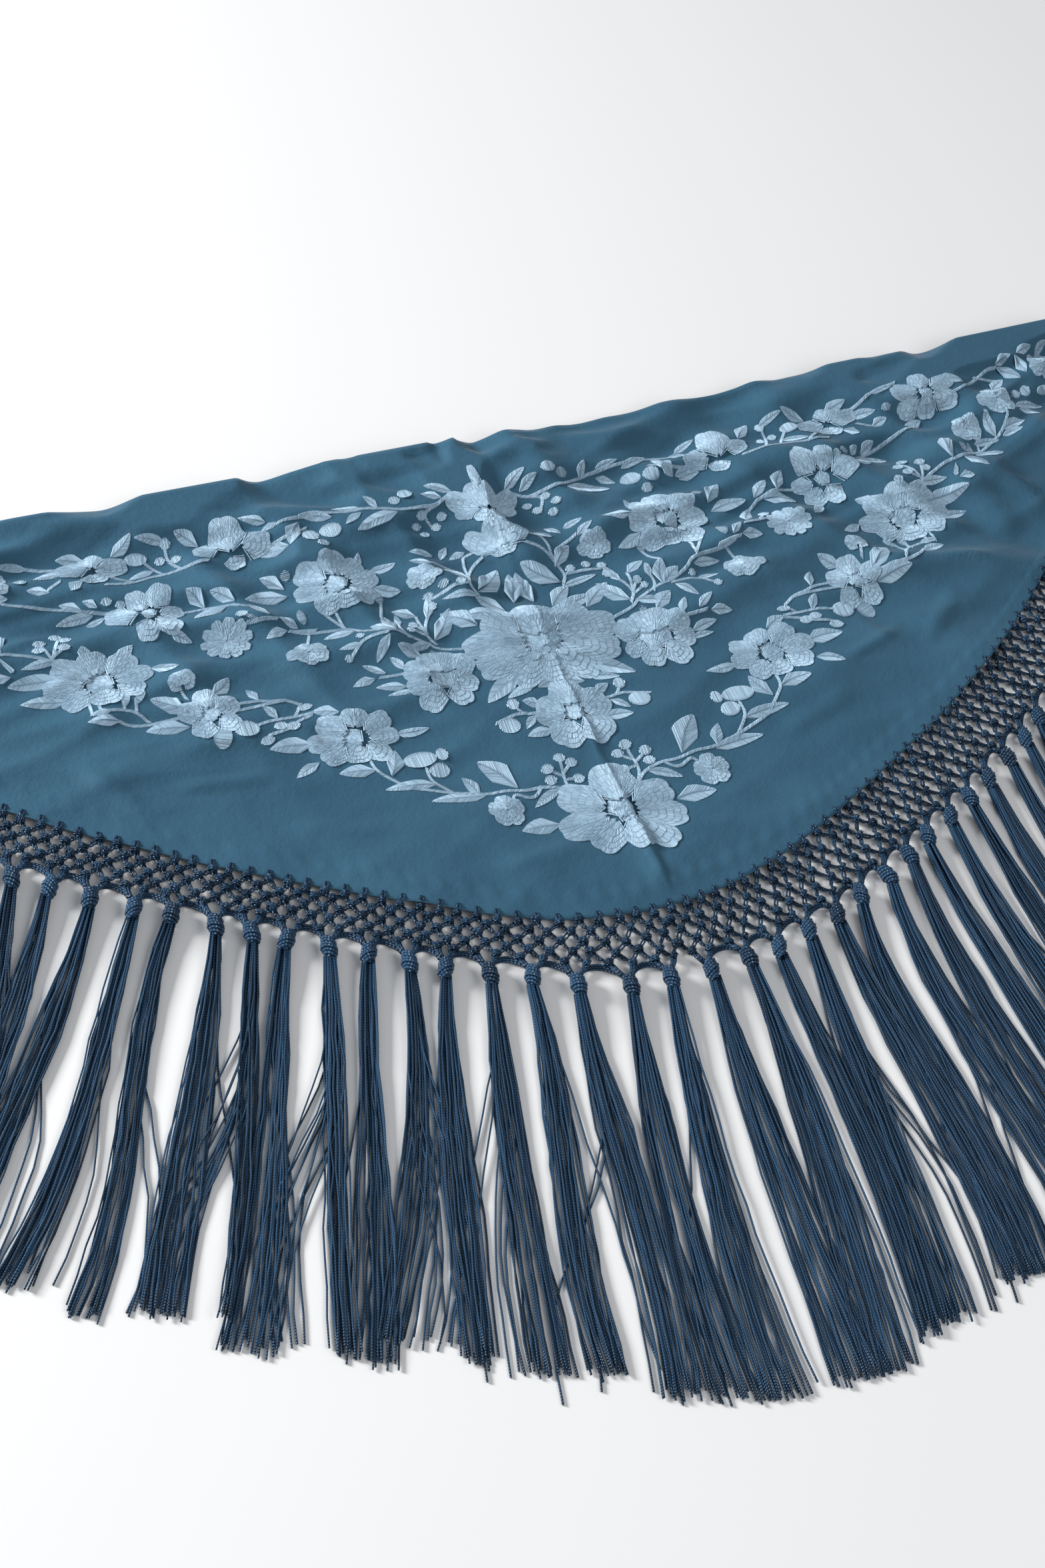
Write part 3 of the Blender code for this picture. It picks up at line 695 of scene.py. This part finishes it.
for side, group in ((-1, "left"), (1, "right")):
    mirror = np.array((side, 1.0))
    for centre, half_u, half_v, petals, rows, turn in FLOWERS:
        spot = mirror * centre + sewing.normal(0.0, 0.4, 2)
        flower(group, spot, half_u, half_v, petals, rows, 90 + side * (turn - 90))
    for u0, v0, u1, v1, width, rows in PETALS:
        drift = sewing.normal(0.0, 0.4, 2)
        high = 0.12 + sewing.uniform(0.0, 0.16)
        petal(group, mirror * (u0, v0) + drift, mirror * (u1, v1) + drift, width, rows, high)
    for u0, v0, u1, v1, width in LEAVES:
        drift = sewing.normal(0.0, 0.3, 2)
        leaf(group, mirror * (u0, v0) + drift, mirror * (u1, v1) + drift, width, side * 0.12)
    for u0, v0, u1, v1, width in BUDS:
        bud(group, mirror * (u0, v0), mirror * (u1, v1), width)
    for points in STEMS:
        stem(group, np.array(points) * mirror)


def stitch_mesh(name, stitches):
    """One closed three-sided thread for each stitch, lying just on the crepe."""
    flat, lift = stitches[:, :4].reshape(-1, 2, 2), stitches[:, 4]
    laid_x = flat[..., 0] + DRAWN_ASIDE + DRAWN_WIDER * np.abs(flat[..., 0])
    laid = np.stack([laid_x, lay(flat[..., 0], flat[..., 1])[1]], -1)
    way = laid[:, 1] - laid[:, 0]
    way = way / np.maximum(np.linalg.norm(way, axis=1, keepdims=True), 1e-6)
    aside = left_of(way)[:, None]
    height = crepe_height(laid[..., 0], laid[..., 1])
    middle = laid.mean(1)
    hump = np.maximum(crepe_height(middle[:, 0], middle[:, 1]) - height.mean(1), 0.0)
    height += (lift + hump)[:, None] + sewing.normal(0, 0.05, (len(lift), 1)) + 0.1
    corners = []
    for over, up in ((-STITCH_HALF_WIDTH, -0.5), (STITCH_HALF_WIDTH, -0.5), (0.0, 0.5)):
        spot = laid + aside * over
        corners.append(np.concatenate([spot, (height + up * STITCH_THICKNESS)[..., None]], -1))
    points = np.stack(corners, 2).reshape(-1, 3)
    first = (np.arange(len(lift)) * 6)[:, None, None]
    side = np.arange(3)
    turn = (side + 1) % 3
    quads = np.stack([side, turn, 3 + turn, 3 + side], -1)
    faces = (first + quads).reshape(-1, 4).tolist()
    ends = np.array(((2, 1, 0), (3, 4, 5)))
    faces += (first + ends).reshape(-1, 3).tolist()
    # The map gives each corner its stitch's number across, and 0 at the start or 1 at the end.
    number = (np.arange(len(lift)) % THREAD_NUMBERS + 0.5) * STITCH_NUMBER_STEP
    of_quads = np.column_stack([np.repeat(number, 12), np.tile((0.0, 0.0, 1.0, 1.0), 3 * len(lift))])
    of_ends = np.column_stack([np.repeat(number, 6), np.tile(np.repeat((0.0, 1.0), 3), len(lift))])
    piece = mesh_piece(name, points, faces, silk_finish, np.vstack([of_quads, of_ends]).ravel())
    piece.data.shade_flat()
    return piece


embroidery = [stitch_mesh("embroidery_" + group, np.vstack(parts)) for group, parts in sewn.items()]


# Knotted net: a band of twisted thread along each short side, hooked into the crepe's edge loop by
# loop, then knotted in rows so that it opens in small diamonds. The last row's knots are drawn
# together two by two into the tassels' heads, with a round-topped arch between each two heads.
TASSELS = 31
TASSEL_PITCH = 17.0
LOOP = TASSEL_PITCH / 2
NET_ROWS = 5

# Outwards from the crepe's edge: the first row of knots, the net's depth, how far the last row's
# knots lie past it, the strip that the heads hang from, and how far along its own line a head starts.
FIRST_ROW = 1.2
NET_DEPTH = 22.5
LAST_ROW_OUT = 2.3
STRIP_DEPTH = 3.7
HEAD_START = 5.0

# Each thread is given by its radius.
NET_THREAD = 0.56
STRANDS_ASIDE = 0.62
KNOT_THREAD = 0.62
KNOT_RADIUS = 2.0
KNOT_HALF_LENGTH = 1.25
KNOT_HEIGHT = 2.7
KNOT_TURNS = 3.0
KNOT_POINTS = 20
GATHER_HEIGHT = 2.6
ARCH_POINTS = 11

# No thread reaches under this height above the floor.
LOWEST = 0.02

# How the tassels were combed: the side's sign, the way that they point at the shawl's point and far
# along the side, and the length over which they turn from the one to the other.
COMBED = {"left": (-1, -98.0, -115.0, 95.0), "right": (1, -97.0, -88.0, 150.0)}
# How far the net was pulled deeper, and how far its tassels were pulled along the edge.
PULLED = {"left": (-5.0, 7.0), "right": (4.0, -3.5)}

# Twisted thread: slanting grooves round a thread, from its own map, a painted shade for the grooves, and
# a tone of its own for each.
twist_tree, twist_in, twist_out = new_group(
    "twisted thread",
    (("Turns", "NodeSocketFloat", 0.5), ("Depth", "NodeSocketFloat", 0.6)),
    (("Normal", "NodeSocketVector"), ("Groove shade", "NodeSocketFloat"), ("Own tone", "NodeSocketFloat")),
)
twist_map = add_node(twist_tree, "UVMap")
twist_map.uv_map = "thread"
twist_split = add_node(twist_tree, "SeparateXYZ")
twist_along = add_math(twist_tree, "MULTIPLY_ADD")
twist_angle = add_math(twist_tree, "MULTIPLY", 2 * math.pi)
twist_wave = add_math(twist_tree, "SINE")
twist_bump = add_node(twist_tree, "Bump", {"Distance": 0.0004})
twist_shade = add_node(twist_tree, "MapRange", {"From Min": -1.0})
twist_number = add_math(twist_tree, "FLOOR")
twist_own = add_node(twist_tree, "TexWhiteNoise")
twist_own.noise_dimensions = "1D"
join(
    twist_tree,
    (twist_map, "UV", twist_split, "Vector"),
    (twist_split, "X", twist_number, 0),
    (twist_number, "Value", twist_own, "W"),
    (twist_own, "Value", twist_out, "Own tone"),
    (twist_split, "Y", twist_along, 0),
    (twist_in, "Turns", twist_along, 1),
    (twist_split, "X", twist_along, 2),
    (twist_along, "Value", twist_angle, 0),
    (twist_angle, "Value", twist_wave, 0),
    (twist_wave, "Value", twist_bump, "Height"),
    (twist_in, "Depth", twist_bump, "Strength"),
    (twist_wave, "Value", twist_shade, "Value"),
    (twist_bump, "Normal", twist_out, "Normal"),
    (twist_shade, "Result", twist_out, "Groove shade"),
)


def thread_finish(name, light, dark_and_groove_shade, roughness, turns):
    """Twisted deep blue thread, with painted shade in its grooves and each thread a little different."""
    finish, tree, shader = new_finish(name, light, roughness)
    twist = add_node(tree, "Group")
    twist.node_tree = twist_tree
    set_values(twist, {"Turns": turns})
    # Painted shade: the colour is darker in the twist's grooves and lighter on its ridges, and each
    # thread's own tone shifts it too.
    tone = add_colour_mix(tree)
    set_values(tone, {"A": (*dark_and_groove_shade, 1.0), "B": (*light, 1.0)})
    groove_shaded = add_math(tree, "MULTIPLY_ADD", 0.5)
    varied = add_math(tree, "MULTIPLY", 0.55)
    join(
        tree,
        (twist, "Own tone", varied, 0),
        (twist, "Groove shade", groove_shaded, 0),
        (varied, "Value", groove_shaded, 2),
        (groove_shaded, "Value", tone, "Factor"),
        (tone, "Result", shader, "Base Color"),
        (twist, "Normal", shader, "Normal"),
    )
    return finish


# The net's darker colour stands both for the thread's own darker tone and for the painted shade in its
# grooves.
net_finish = thread_finish(
    "net thread", light=(0.024, 0.072, 0.140), dark_and_groove_shade=(0.003, 0.011, 0.028), roughness=0.36, turns=0.6
)


class SideLine:
    """The crepe's edge along one short side, from the point to the corner, by its own length."""

    def __init__(self, side):
        self.sign, self.start, self.end, self.turning = COMBED[side]
        self.deeper, self.shift = PULLED[side]
        u = np.linspace(0.0, HALF_WIDTH, 600)
        self.points = np.stack(lay(self.sign * u, short_side(u)), -1)
        steps = np.linalg.norm(np.diff(self.points, axis=0), axis=1)
        self.lengths = np.concatenate([[0.0], np.cumsum(steps)])
        tangents = np.gradient(self.points, axis=0)
        tangents /= np.linalg.norm(tangents, axis=1, keepdims=True)
        self.outward = self.sign * np.stack([tangents[:, 1], -tangents[:, 0]], -1)
        self.outward[0] = (0.0, -1.0)

    def at(self, length, depth):
        """The point this far along the edge and this far outside it."""
        length, depth = np.broadcast_arrays(np.asarray(length, float), depth)
        spot = [np.interp(length, self.lengths, self.points[:, i]) for i in (0, 1)]
        out = [np.interp(length, self.lengths, self.outward[:, i]) for i in (0, 1)]
        return np.stack(spot, -1) + np.stack(out, -1) * depth[..., None]

    def pulled(self, length):
        """How far the net has its full pull here, from 0 to 1."""
        return smooth(length / 90.0) * smooth((self.lengths[-1] - length) / 150.0)

    def net_depth(self, length):
        return NET_DEPTH + self.deeper * self.pulled(length)

    def tassel_place(self, number):
        """Where along the edge the tassel with this number hangs."""
        even = (np.asarray(number, float) + 0.5) * TASSEL_PITCH
        return even + self.shift * self.pulled(even)

    def combed_way(self, length):
        """The unit vectors along which tassels lie here."""
        share = 1.0 - np.exp(-np.asarray(length, float) / self.turning)
        angle = np.radians(self.start + (self.end - self.start) * share)
        return np.stack([np.cos(angle), np.sin(angle)], -1)


class Threads:
    """Gathers threads of one piece: each a closed tube along its own line of points."""

    def __init__(self):
        self.points, self.quads, self.ends, self.maps, self.count = [], [], [], [], 0

    def add(self, lines, radius, sides=4, normals=None):
        """lines is threads by points by XYZ. The tube's first side faces its normal, or up."""
        lines = np.asarray(lines, float)
        many, long = lines.shape[:2]
        way = np.gradient(lines, axis=1)
        way /= np.maximum(np.linalg.norm(way, axis=-1, keepdims=True), 1e-9)
        up = np.broadcast_to((0.0, 0.0, 1.0), lines.shape) if normals is None else normals
        across = np.cross(way, up)
        across /= np.maximum(np.linalg.norm(across, axis=-1, keepdims=True), 1e-9)
        over = np.cross(across, way)
        radius = np.broadcast_to(radius, (many, long))[..., None, None]
        angle = 2 * math.pi * (np.arange(sides) + 0.5) / sides
        ring = across[:, :, None] * np.cos(angle)[:, None] + over[:, :, None] * np.sin(angle)[:, None]
        points = lines[:, :, None] + ring * radius
        points[..., 2] = np.maximum(points[..., 2], LOWEST)
        travelled = np.linalg.norm(np.diff(lines, axis=1), axis=-1)
        travelled = np.concatenate([np.zeros((many, 1)), np.cumsum(travelled, axis=1)], axis=1)
        a = np.arange(long - 1)[:, None] * sides
        k = np.arange(sides)
        turned = (k + 1) % sides
        quad = np.stack([a + k, a + turned, a + sides + turned, a + sides + k], -1)[None]
        first = self.count + np.arange(many) * long * sides
        self.quads.append((first[:, None, None, None] + quad).reshape(-1, 4))
        last = first + (long - 1) * sides
        self.ends.append(np.concatenate([first[:, None] + k[::-1], last[:, None] + k]))
        # The map has the thread's number and the way round it across, and its millimetres along,
        # which begin at another place for each thread so that the grooves don't line up.
        travelled = travelled + (self.count * 0.618 + np.arange(many)[:, None] * 0.754) % 9.0
        low, high = travelled[:, :-1, None], travelled[:, 1:, None]
        shape = (many, long - 1, sides)
        number = (self.count + np.arange(many)[:, None, None]) % THREAD_NUMBERS
        u0 = np.broadcast_to(number + k / sides, shape)
        u1 = np.broadcast_to(number + (k + 0.999) / sides, shape)
        v0, v1 = np.broadcast_to(low, shape), np.broadcast_to(high, shape)
        self.maps.append(np.stack([u0, v0, u1, v0, u1, v1, u0, v1], -1).reshape(-1, 8))
        self.points.append(points.reshape(-1, 3))
        self.count += many * long * sides

    def piece(self, name, finish, thread_slot):
        """The threads as one mesh piece, with closed ends. Its thread_slot is not used."""
        faces = np.vstack(self.quads).tolist()
        maps = [np.vstack(self.maps).ravel()]
        for end in self.ends:
            faces += end.tolist()
            maps.append(np.zeros(end.size * 2))
        made = mesh_piece(name, np.vstack(self.points), faces, finish, np.concatenate(maps))
        return made


def on_floor(flat, height):
    """Points of the laid shawl at this height above the floor."""
    height = np.broadcast_to(height, flat.shape[:-1])
    return np.concatenate([flat, height[..., None]], -1)


def wound(across, turns):
    """Unit vectors that turn from across to upright and on, one for each step of a winding."""
    upright = np.array((0.0, 0.0, 1.0))
    return across[:, None] * np.cos(turns)[:, None] + upright * np.sin(turns)[:, None]


knotting = np.random.default_rng(5)
heads = {}
for side in COMBED:
    line = SideLine(side)
    loops = 2 * TASSELS
    net = Threads()
    even = (np.arange(loops) + 0.5) * LOOP
    even = even + line.shift * line.pulled(even)
    depth = line.net_depth(even)
    knots = []
    for row in range(NET_ROWS):
        along = even if row % 2 == 0 else np.maximum(even - LOOP / 2, 1.2)
        flat = line.at(along, FIRST_ROW + (depth - FIRST_ROW + LAST_ROW_OUT) * row / (NET_ROWS - 1))
        flat = flat + knotting.normal(0.0, 0.55, flat.shape)
        knots.append(on_floor(flat, KNOT_HEIGHT + knotting.uniform(0.0, 0.5, loops)))
    # Edge loops: two threads from each first knot up through the hem.
    for across in (-1.0, 1.0):
        top = line.at(even + across * 0.5, -3.2)
        over = line.at(even + across * 0.9, -1.2)
        top = on_floor(top, crepe_height(top[:, 0], top[:, 1]) - 0.2)
        over = on_floor(over, crepe_height(over[:, 0], over[:, 1]) + 0.6)
        net.add(np.stack([top, over, knots[0]], 1), NET_THREAD)
    # Strands: two threads from each knot to each of the two below it, sagging between them.
    for row in range(NET_ROWS - 1):
        upper, lower = knots[row], knots[row + 1]
        if row % 2 == 0:
            pairs = ((upper, lower), (upper[:-1], lower[1:]))
        else:
            pairs = ((upper, lower), (upper[1:], lower[:-1]))
        for a, b in pairs:
            for over in (-STRANDS_ASIDE, STRANDS_ASIDE):
                way = (b - a)[:, :2]
                way = way / np.linalg.norm(way, axis=1, keepdims=True)
                aside = on_floor(left_of(way) * over, 0.0)
                middle = (a + b) / 2 + aside + knotting.normal(0.0, 0.16, a.shape) - (0.0, 0.0, 1.2)
                net.add(np.stack([a + aside, middle, b - aside], 1), NET_THREAD)
    # Knots: turns of thread round the strands, each knot drawn tight at its own slant, with a core.
    every = np.vstack(knots)
    turns = np.linspace(0.0, 2 * math.pi * KNOT_TURNS, KNOT_POINTS)
    share = np.linspace(0.0, 1.0, KNOT_POINTS)
    out = line.at(even, 1.0) - line.at(even, 0.0)
    out = np.vstack([out] * NET_ROWS)
    slant = knotting.normal(0.0, 0.5, len(out))
    slanted_x = out[:, 0] * np.cos(slant) - out[:, 1] * np.sin(slant)
    slanted_y = out[:, 0] * np.sin(slant) + out[:, 1] * np.cos(slant)
    out = on_floor(np.column_stack([slanted_x, slanted_y]), 0.0)
    radial = wound(np.cross(out, (0.0, 0.0, 1.0)), turns)
    size = KNOT_RADIUS * knotting.uniform(0.9, 1.15, len(out))[:, None]
    size = size * (0.72 + 0.28 * np.sin(math.pi * share) ** 0.5)
    run = np.linspace(-KNOT_HALF_LENGTH, KNOT_HALF_LENGTH, KNOT_POINTS)
    coil = every[:, None] + radial * size[..., None] + out[:, None] * run[:, None]
    net.add(coil, KNOT_THREAD, 3, radial)
    net.add(np.stack([every - out * 1.3, every, every + out * 1.3], 1), (0.7, 1.4, 0.7), 6)
    # Gathers: threads from the last row's two knots to each head.
    middle = line.tassel_place(np.arange(TASSELS))
    way = line.combed_way(middle)
    head_top = line.at(middle, line.net_depth(middle) + STRIP_DEPTH) + way * HEAD_START
    head_top = head_top + knotting.normal(0.0, 0.6, head_top.shape)
    heads[side] = (head_top, way)
    aside = left_of(way)
    for number in (0, 1):
        knot = knots[-1][number::2]
        inwards = (number - 0.5) * line.sign
        for strand in range(5):
            spread = (strand - 2) * 0.55
            start = knot + on_floor(aside * spread, 0.2 * (strand % 2))
            end = on_floor(head_top + way * 1.0 + aside * (spread * 0.9 + inwards), GATHER_HEIGHT)
            bend = (start + end) / 2 + on_floor(aside * inwards * 1.2, 0.5)
            net.add(np.stack([start, bend, end], 1), NET_THREAD)
    # Arches: bundles of thread that bow over from one head to the next.
    share = np.linspace(0.0, 1.0, ARCH_POINTS)
    between = line.tassel_place(np.arange(TASSELS - 1) + 0.5)
    for strand in range(3):
        foot = line.sign * (2.4 - 0.5 * strand)
        a = head_top[:-1] + aside[:-1] * foot
        b = head_top[1:] - aside[1:] * foot
        top = line.at(between, line.net_depth(between) + 4.6 - 0.9 * strand)
        straight = a[:, None] + (b - a)[:, None] * share[:, None]
        rise = (top - (a + b) / 2)[:, None] * (np.sin(math.pi * share) ** 0.6)[:, None]
        height = 1.5 + 0.35 * strand + 1.0 * np.abs(2 * share - 1) ** 2
        net.add(on_floor(straight + rise, height), NET_THREAD)
    piece = net.piece("net_thread_" + side, net_finish, "net_thread")
    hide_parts("net_" + side)


# Tassels: the net's threads, wound into a hard round head and let hang below it. Each has about
# thirty twisted threads, narrow under the head and wider towards its blunt, slightly ragged ends.
THREADS_A_TASSEL = 31
THREAD_POINTS = 15
TASSEL_THREAD = 0.52
HEAD_LENGTH = 9.8
HEAD_HEIGHT = 4.2
HEAD_TURNS = 5.5
HEAD_POINTS = 60
WRAP_THREAD = 0.8
SEEDS = {"left": 31, "right": 32}
# The tassels' darker colour stands both for the thread's own darker tone and for the painted shade in
# its grooves.
tassel_finish = thread_finish(
    "tassel thread", light=(0.024, 0.078, 0.155), dark_and_groove_shade=(0.004, 0.014, 0.032), roughness=0.36, turns=0.8
)

# How each tassel lies, from the point outwards: how far aside of its own line it is at 60 mm, at
# 120 mm and at its end, its width there, its length from the head's top, and the share of its threads
# that stray and how far aside they end.
TASSELS_LIE = {
    "left": (
        (-2, -2, 3, 12, 15, 20, 197, 0.06, -14), (0, 2, 9, 14, 16, 20, 192, 0.05, 12),
        (6, 13, 17, 14, 16, 16, 191, 0.05, -14), (6, 8, 16, 13, 16, 16, 183, 0.12, 26),
        (4, 9, 16, 12, 13, 17, 184, 0.08, 2), (1, 5, 10, 11.5, 15, 12, 180, 0.08, 20),
        (4, 1, -7, 10, 16, 11, 177, 0.3, 8), (2.5, 6, 7, 8, 14, 17, 187, 0.05, -6),
        (5, 8.5, 14, 9, 10, 11, 185, 0.4, -12), (0, 0, -4.5, 10, 15, 19, 188, 0.08, 12),
        (3, 5.5, 4, 8, 8, 6, 176, 0.5, -18), (0.5, -2, -4, 12, 17, 18, 180, 0.05, 6),
        (-5, -5.5, -13, 9, 11, 16, 187, 0.04, 2), (-5, -12, -26, 8, 9, 11, 178, 0.05, -14),
        (-8, -20, -32, 12, 12, 12, 180, 0.1, -20), (-4, -12, -20, 12, 13, 14, 181, 0.05, -8),
        (2, 4, 3, 10, 13, 15, 184, 0.06, 12), (-3, -5, -8, 11, 14, 16, 183, 0.05, -18),
    ),
    "right": (
        (0.5, 2, 6, 14, 17, 22, 197, 0.05, -10), (3, 2, -2, 14, 18, 20, 199, 0.05, 8),
        (4, 6, 2, 10, 12, 12, 191, 0.12, 12), (-1, -2, -5, 12.5, 14, 16, 193, 0.12, 14),
        (5, 12, 15, 13, 18, 18, 189, 0.05, 2), (-1.5, 5, 4, 14, 19, 21, 195, 0.06, -12),
        (0.5, 8, 16, 12.5, 16, 17, 190, 0.06, 2), (0.5, 5, 10, 11, 16, 17, 190, 0.06, 26),
        (5, 12, 18, 11, 15, 16, 188, 0.08, 4), (4, 11, 16, 12, 14, 16, 188, 0.05, 30),
        (5, 10, 16, 12, 14, 15, 187, 0.05, 6), (3, 9, 14, 11, 13, 16, 186, 0.05, 4),
        (3, 8, 13, 11, 14, 15, 188, 0.06, 24), (1, 3, 7, 10, 14, 16, 186, 0.05, -6),
        (-2, -3, 1, 11, 13, 15, 185, 0.05, 14), (2, 6, 9, 10, 13, 16, 187, 0.06, -2),
    ),
}

for side in COMBED:
    combing = np.random.default_rng(SEEDS[side])
    head_top, way = heads[side]
    aside = left_of(way)
    # Heads: a thread wound round a core, with the same slant in all the turns of one head.
    tilt = combing.normal(0.0, 0.14, TASSELS)[:, None]
    leaning = way * np.cos(tilt) + aside * np.sin(tilt)
    lean3 = on_floor(leaning, 0.0)
    turns = np.linspace(0.0, 2 * math.pi * HEAD_TURNS, HEAD_POINTS)
    along = np.linspace(0.0, 1.0, HEAD_POINTS)
    radial = wound(on_floor(left_of(leaning), 0.0), turns)
    barrel = 1.7 + 1.5 * np.sin(math.pi * (0.06 + 0.86 * along)) ** 0.7 + 0.22 * np.sin(turns * 0.37)
    slant = combing.uniform(0.6, 1.8, TASSELS)[:, None]
    slant = slant * np.sign(combing.uniform(-0.7, 1.0, TASSELS))[:, None]
    axis = on_floor(head_top, HEAD_HEIGHT)
    run = 0.6 + (HEAD_LENGTH - 1.4) * along + slant * np.cos(turns)
    coil = axis[:, None] + radial * barrel[:, None] + lean3[:, None] * run[..., None]
    windings = Threads()
    windings.add(coil, WRAP_THREAD, 4, radial)
    along = np.linspace(0.0, 1.0, 6)
    core = axis[:, None] + lean3[:, None] * (HEAD_LENGTH * along)[:, None]
    windings.add(core, 1.1 + 1.4 * np.sin(math.pi * (0.06 + 0.86 * along)) ** 0.7, 8)
    piece = windings.piece("tassel_heads_" + side, tassel_finish, "tassel_thread")
    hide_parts(*[f"fringe_{side}_{number}" for number in range(1, 7)])

    # Tassels past those in the table take the lay of earlier ones, but for the first three.
    table = np.array(TASSELS_LIE[side], float)
    rows = np.arange(TASSELS)
    rows = np.where(rows < len(table), rows, 3 + rows % (len(table) - 3))
    off_60, off_120, off_end, wide_60, wide_120, wide_end, length, straying, stray_end = table[rows].T
    share = np.linspace(0.0, 1.0, THREAD_POINTS)
    reach = length - HEAD_LENGTH + 1.0
    # The one curve through the tassel's four places, as a cubic of the way along it.
    powers = np.array((1, 2, 3))
    known = np.stack([60.0 / length, 120.0 / length, np.ones(TASSELS)], -1)[..., None] ** powers
    cubic = np.linalg.solve(known, np.stack([off_60, off_120, off_end], -1)[..., None])[..., 0]
    sway = (cubic[:, None] * share[:, None] ** powers).sum(-1)
    wide = np.stack([
        np.interp(share * 190, (0, 18, 60, 120, 190), (4.6, 6.6, a, b, c))
        for a, b, c in zip(wide_60, wide_120, wide_end)
    ])
    bottom = axis + lean3 * (HEAD_LENGTH - 1.0)
    line3 = on_floor(way, 0.0)
    aside3 = on_floor(aside, 0.0)
    thickness = np.minimum(24.0 / wide, 4.2)
    hank = Threads()
    for thread in range(THREADS_A_TASSEL):
        # Each thread has a seat across the tassel and a layer in it, and wanders a little about them.
        seat = (thread * 0.618) % 1.0 - 0.5 + combing.normal(0.0, 0.045, TASSELS)
        layer = combing.uniform(0.0, 1.0, TASSELS)[:, None]
        drift = combing.normal(0.0, 0.15, TASSELS)[:, None] * share
        wander = combing.normal(0.0, 0.6, TASSELS)[:, None] * share
        phase = combing.uniform(0.0, 2 * math.pi, TASSELS)[:, None]
        uneven = combing.normal(0.0, 0.35, (TASSELS, len(share))) * smooth(share * 6.0)
        over = sway + (seat[:, None] + drift) * wide + (wander * np.sin(phase + share * 9.0) + uneven)
        # Some threads stray: they leave the tassel part of the way down and lie lower.
        strays = (combing.uniform(0.0, 1.0, TASSELS) < straying)[:, None]
        target = stray_end[:, None] + combing.normal(0.0, 5.0, (TASSELS, 1))
        leave = smooth((share - combing.uniform(0.12, 0.4, (TASSELS, 1))) / 0.55)
        over = np.where(strays, over + (target - sway[:, -1:]) * leave, over)
        height = 0.5 + layer * thickness * 0.85 + 1.3 * np.exp(-share * 16.0)
        height = np.where(strays, 0.5 + (height - 0.5) * (1.0 - 0.8 * leave), height)
        ends = combing.normal(0.0, 1.8, TASSELS)
        ends = ends - 3.0 * (combing.uniform(0.0, 1.0, TASSELS) < 0.08)
        run = share * (reach + ends)[:, None]
        points = bottom[:, None] + line3[:, None] * run[..., None] + aside3[:, None] * over[..., None]
        points[..., 2] = height
        hank.add(points, TASSEL_THREAD)
    hank.piece("tassel_threads_" + side, tassel_finish, "tassel_thread")


# Floor, light and camera: a plain pale floor under soft light from the left and a weaker one from the
# right. The camera has the photograph's view, from the side of the point and a little turned.
floor_mesh = bpy.data.meshes.new("floor")
floor_mesh.from_pydata([(-6, -6, 0), (6, -6, 0), (6, 6, 0), (-6, 6, 0)], [], [(0, 1, 2, 3)])
floor = bpy.data.objects.new("floor", floor_mesh)
bpy.context.scene.collection.objects.link(floor)
floor_finish = new_finish("pale floor", (0.74, 0.74, 0.735), roughness=0.8)[0]
floor_mesh.materials.append(floor_finish)

world = bpy.data.worlds.new("soft light")
bpy.context.scene.world = world
world.use_nodes = True
world.node_tree.nodes["Background"].inputs["Color"].default_value = (0.92, 0.95, 1.0, 1.0)
world.node_tree.nodes["Background"].inputs["Strength"].default_value = 0.42
# The plain view transform leaves the materials' own tones as they are.
bpy.context.scene.view_settings.view_transform = "Standard"

# Each light's name, place, size and power.
LIGHTS = (
    ("key", (-1.9, 1.1, 0.9), 0.6, 98.0),
    ("fill", (1.0, -1.2, 1.8), 1.4, 16.0),
)
for name, spot, size, power in LIGHTS:
    lamp = bpy.data.lights.new(name, "AREA")
    lamp.energy = power
    lamp.size = size
    holder = bpy.data.objects.new(name, lamp)
    holder.location = spot
    holder.rotation_euler = (-Vector(spot)).to_track_quat("-Z", "Y").to_euler()
    bpy.context.scene.collection.objects.link(holder)

# The photograph's view: the camera's direction from the spot it looks at, its roll and its lens.
ELEVATION = math.radians(53.397)
AZIMUTH = math.radians(-39.052)
ROLL = math.radians(21.305)
DISTANCE = 1.0984
LOOKS_AT = Vector((0.00517, 0.03933, 0.0))
back = Vector((
    math.sin(AZIMUTH) * math.cos(ELEVATION),
    -math.cos(AZIMUTH) * math.cos(ELEVATION),
    math.sin(ELEVATION),
))
level = Vector((0.0, 0.0, 1.0)).cross(back).normalized()
upward = back.cross(level)
right = math.cos(ROLL) * level + math.sin(ROLL) * upward
top = -math.sin(ROLL) * level + math.cos(ROLL) * upward
lens = bpy.data.cameras.new("camera")
lens.lens = 54.11
lens.sensor_width = 36.0
camera = bpy.data.objects.new("camera", lens)
turned = Matrix((right, top, back)).transposed().to_4x4()
camera.matrix_world = Matrix.Translation(LOOKS_AT + back * DISTANCE) @ turned
bpy.context.scene.collection.objects.link(camera)
bpy.context.scene.camera = camera
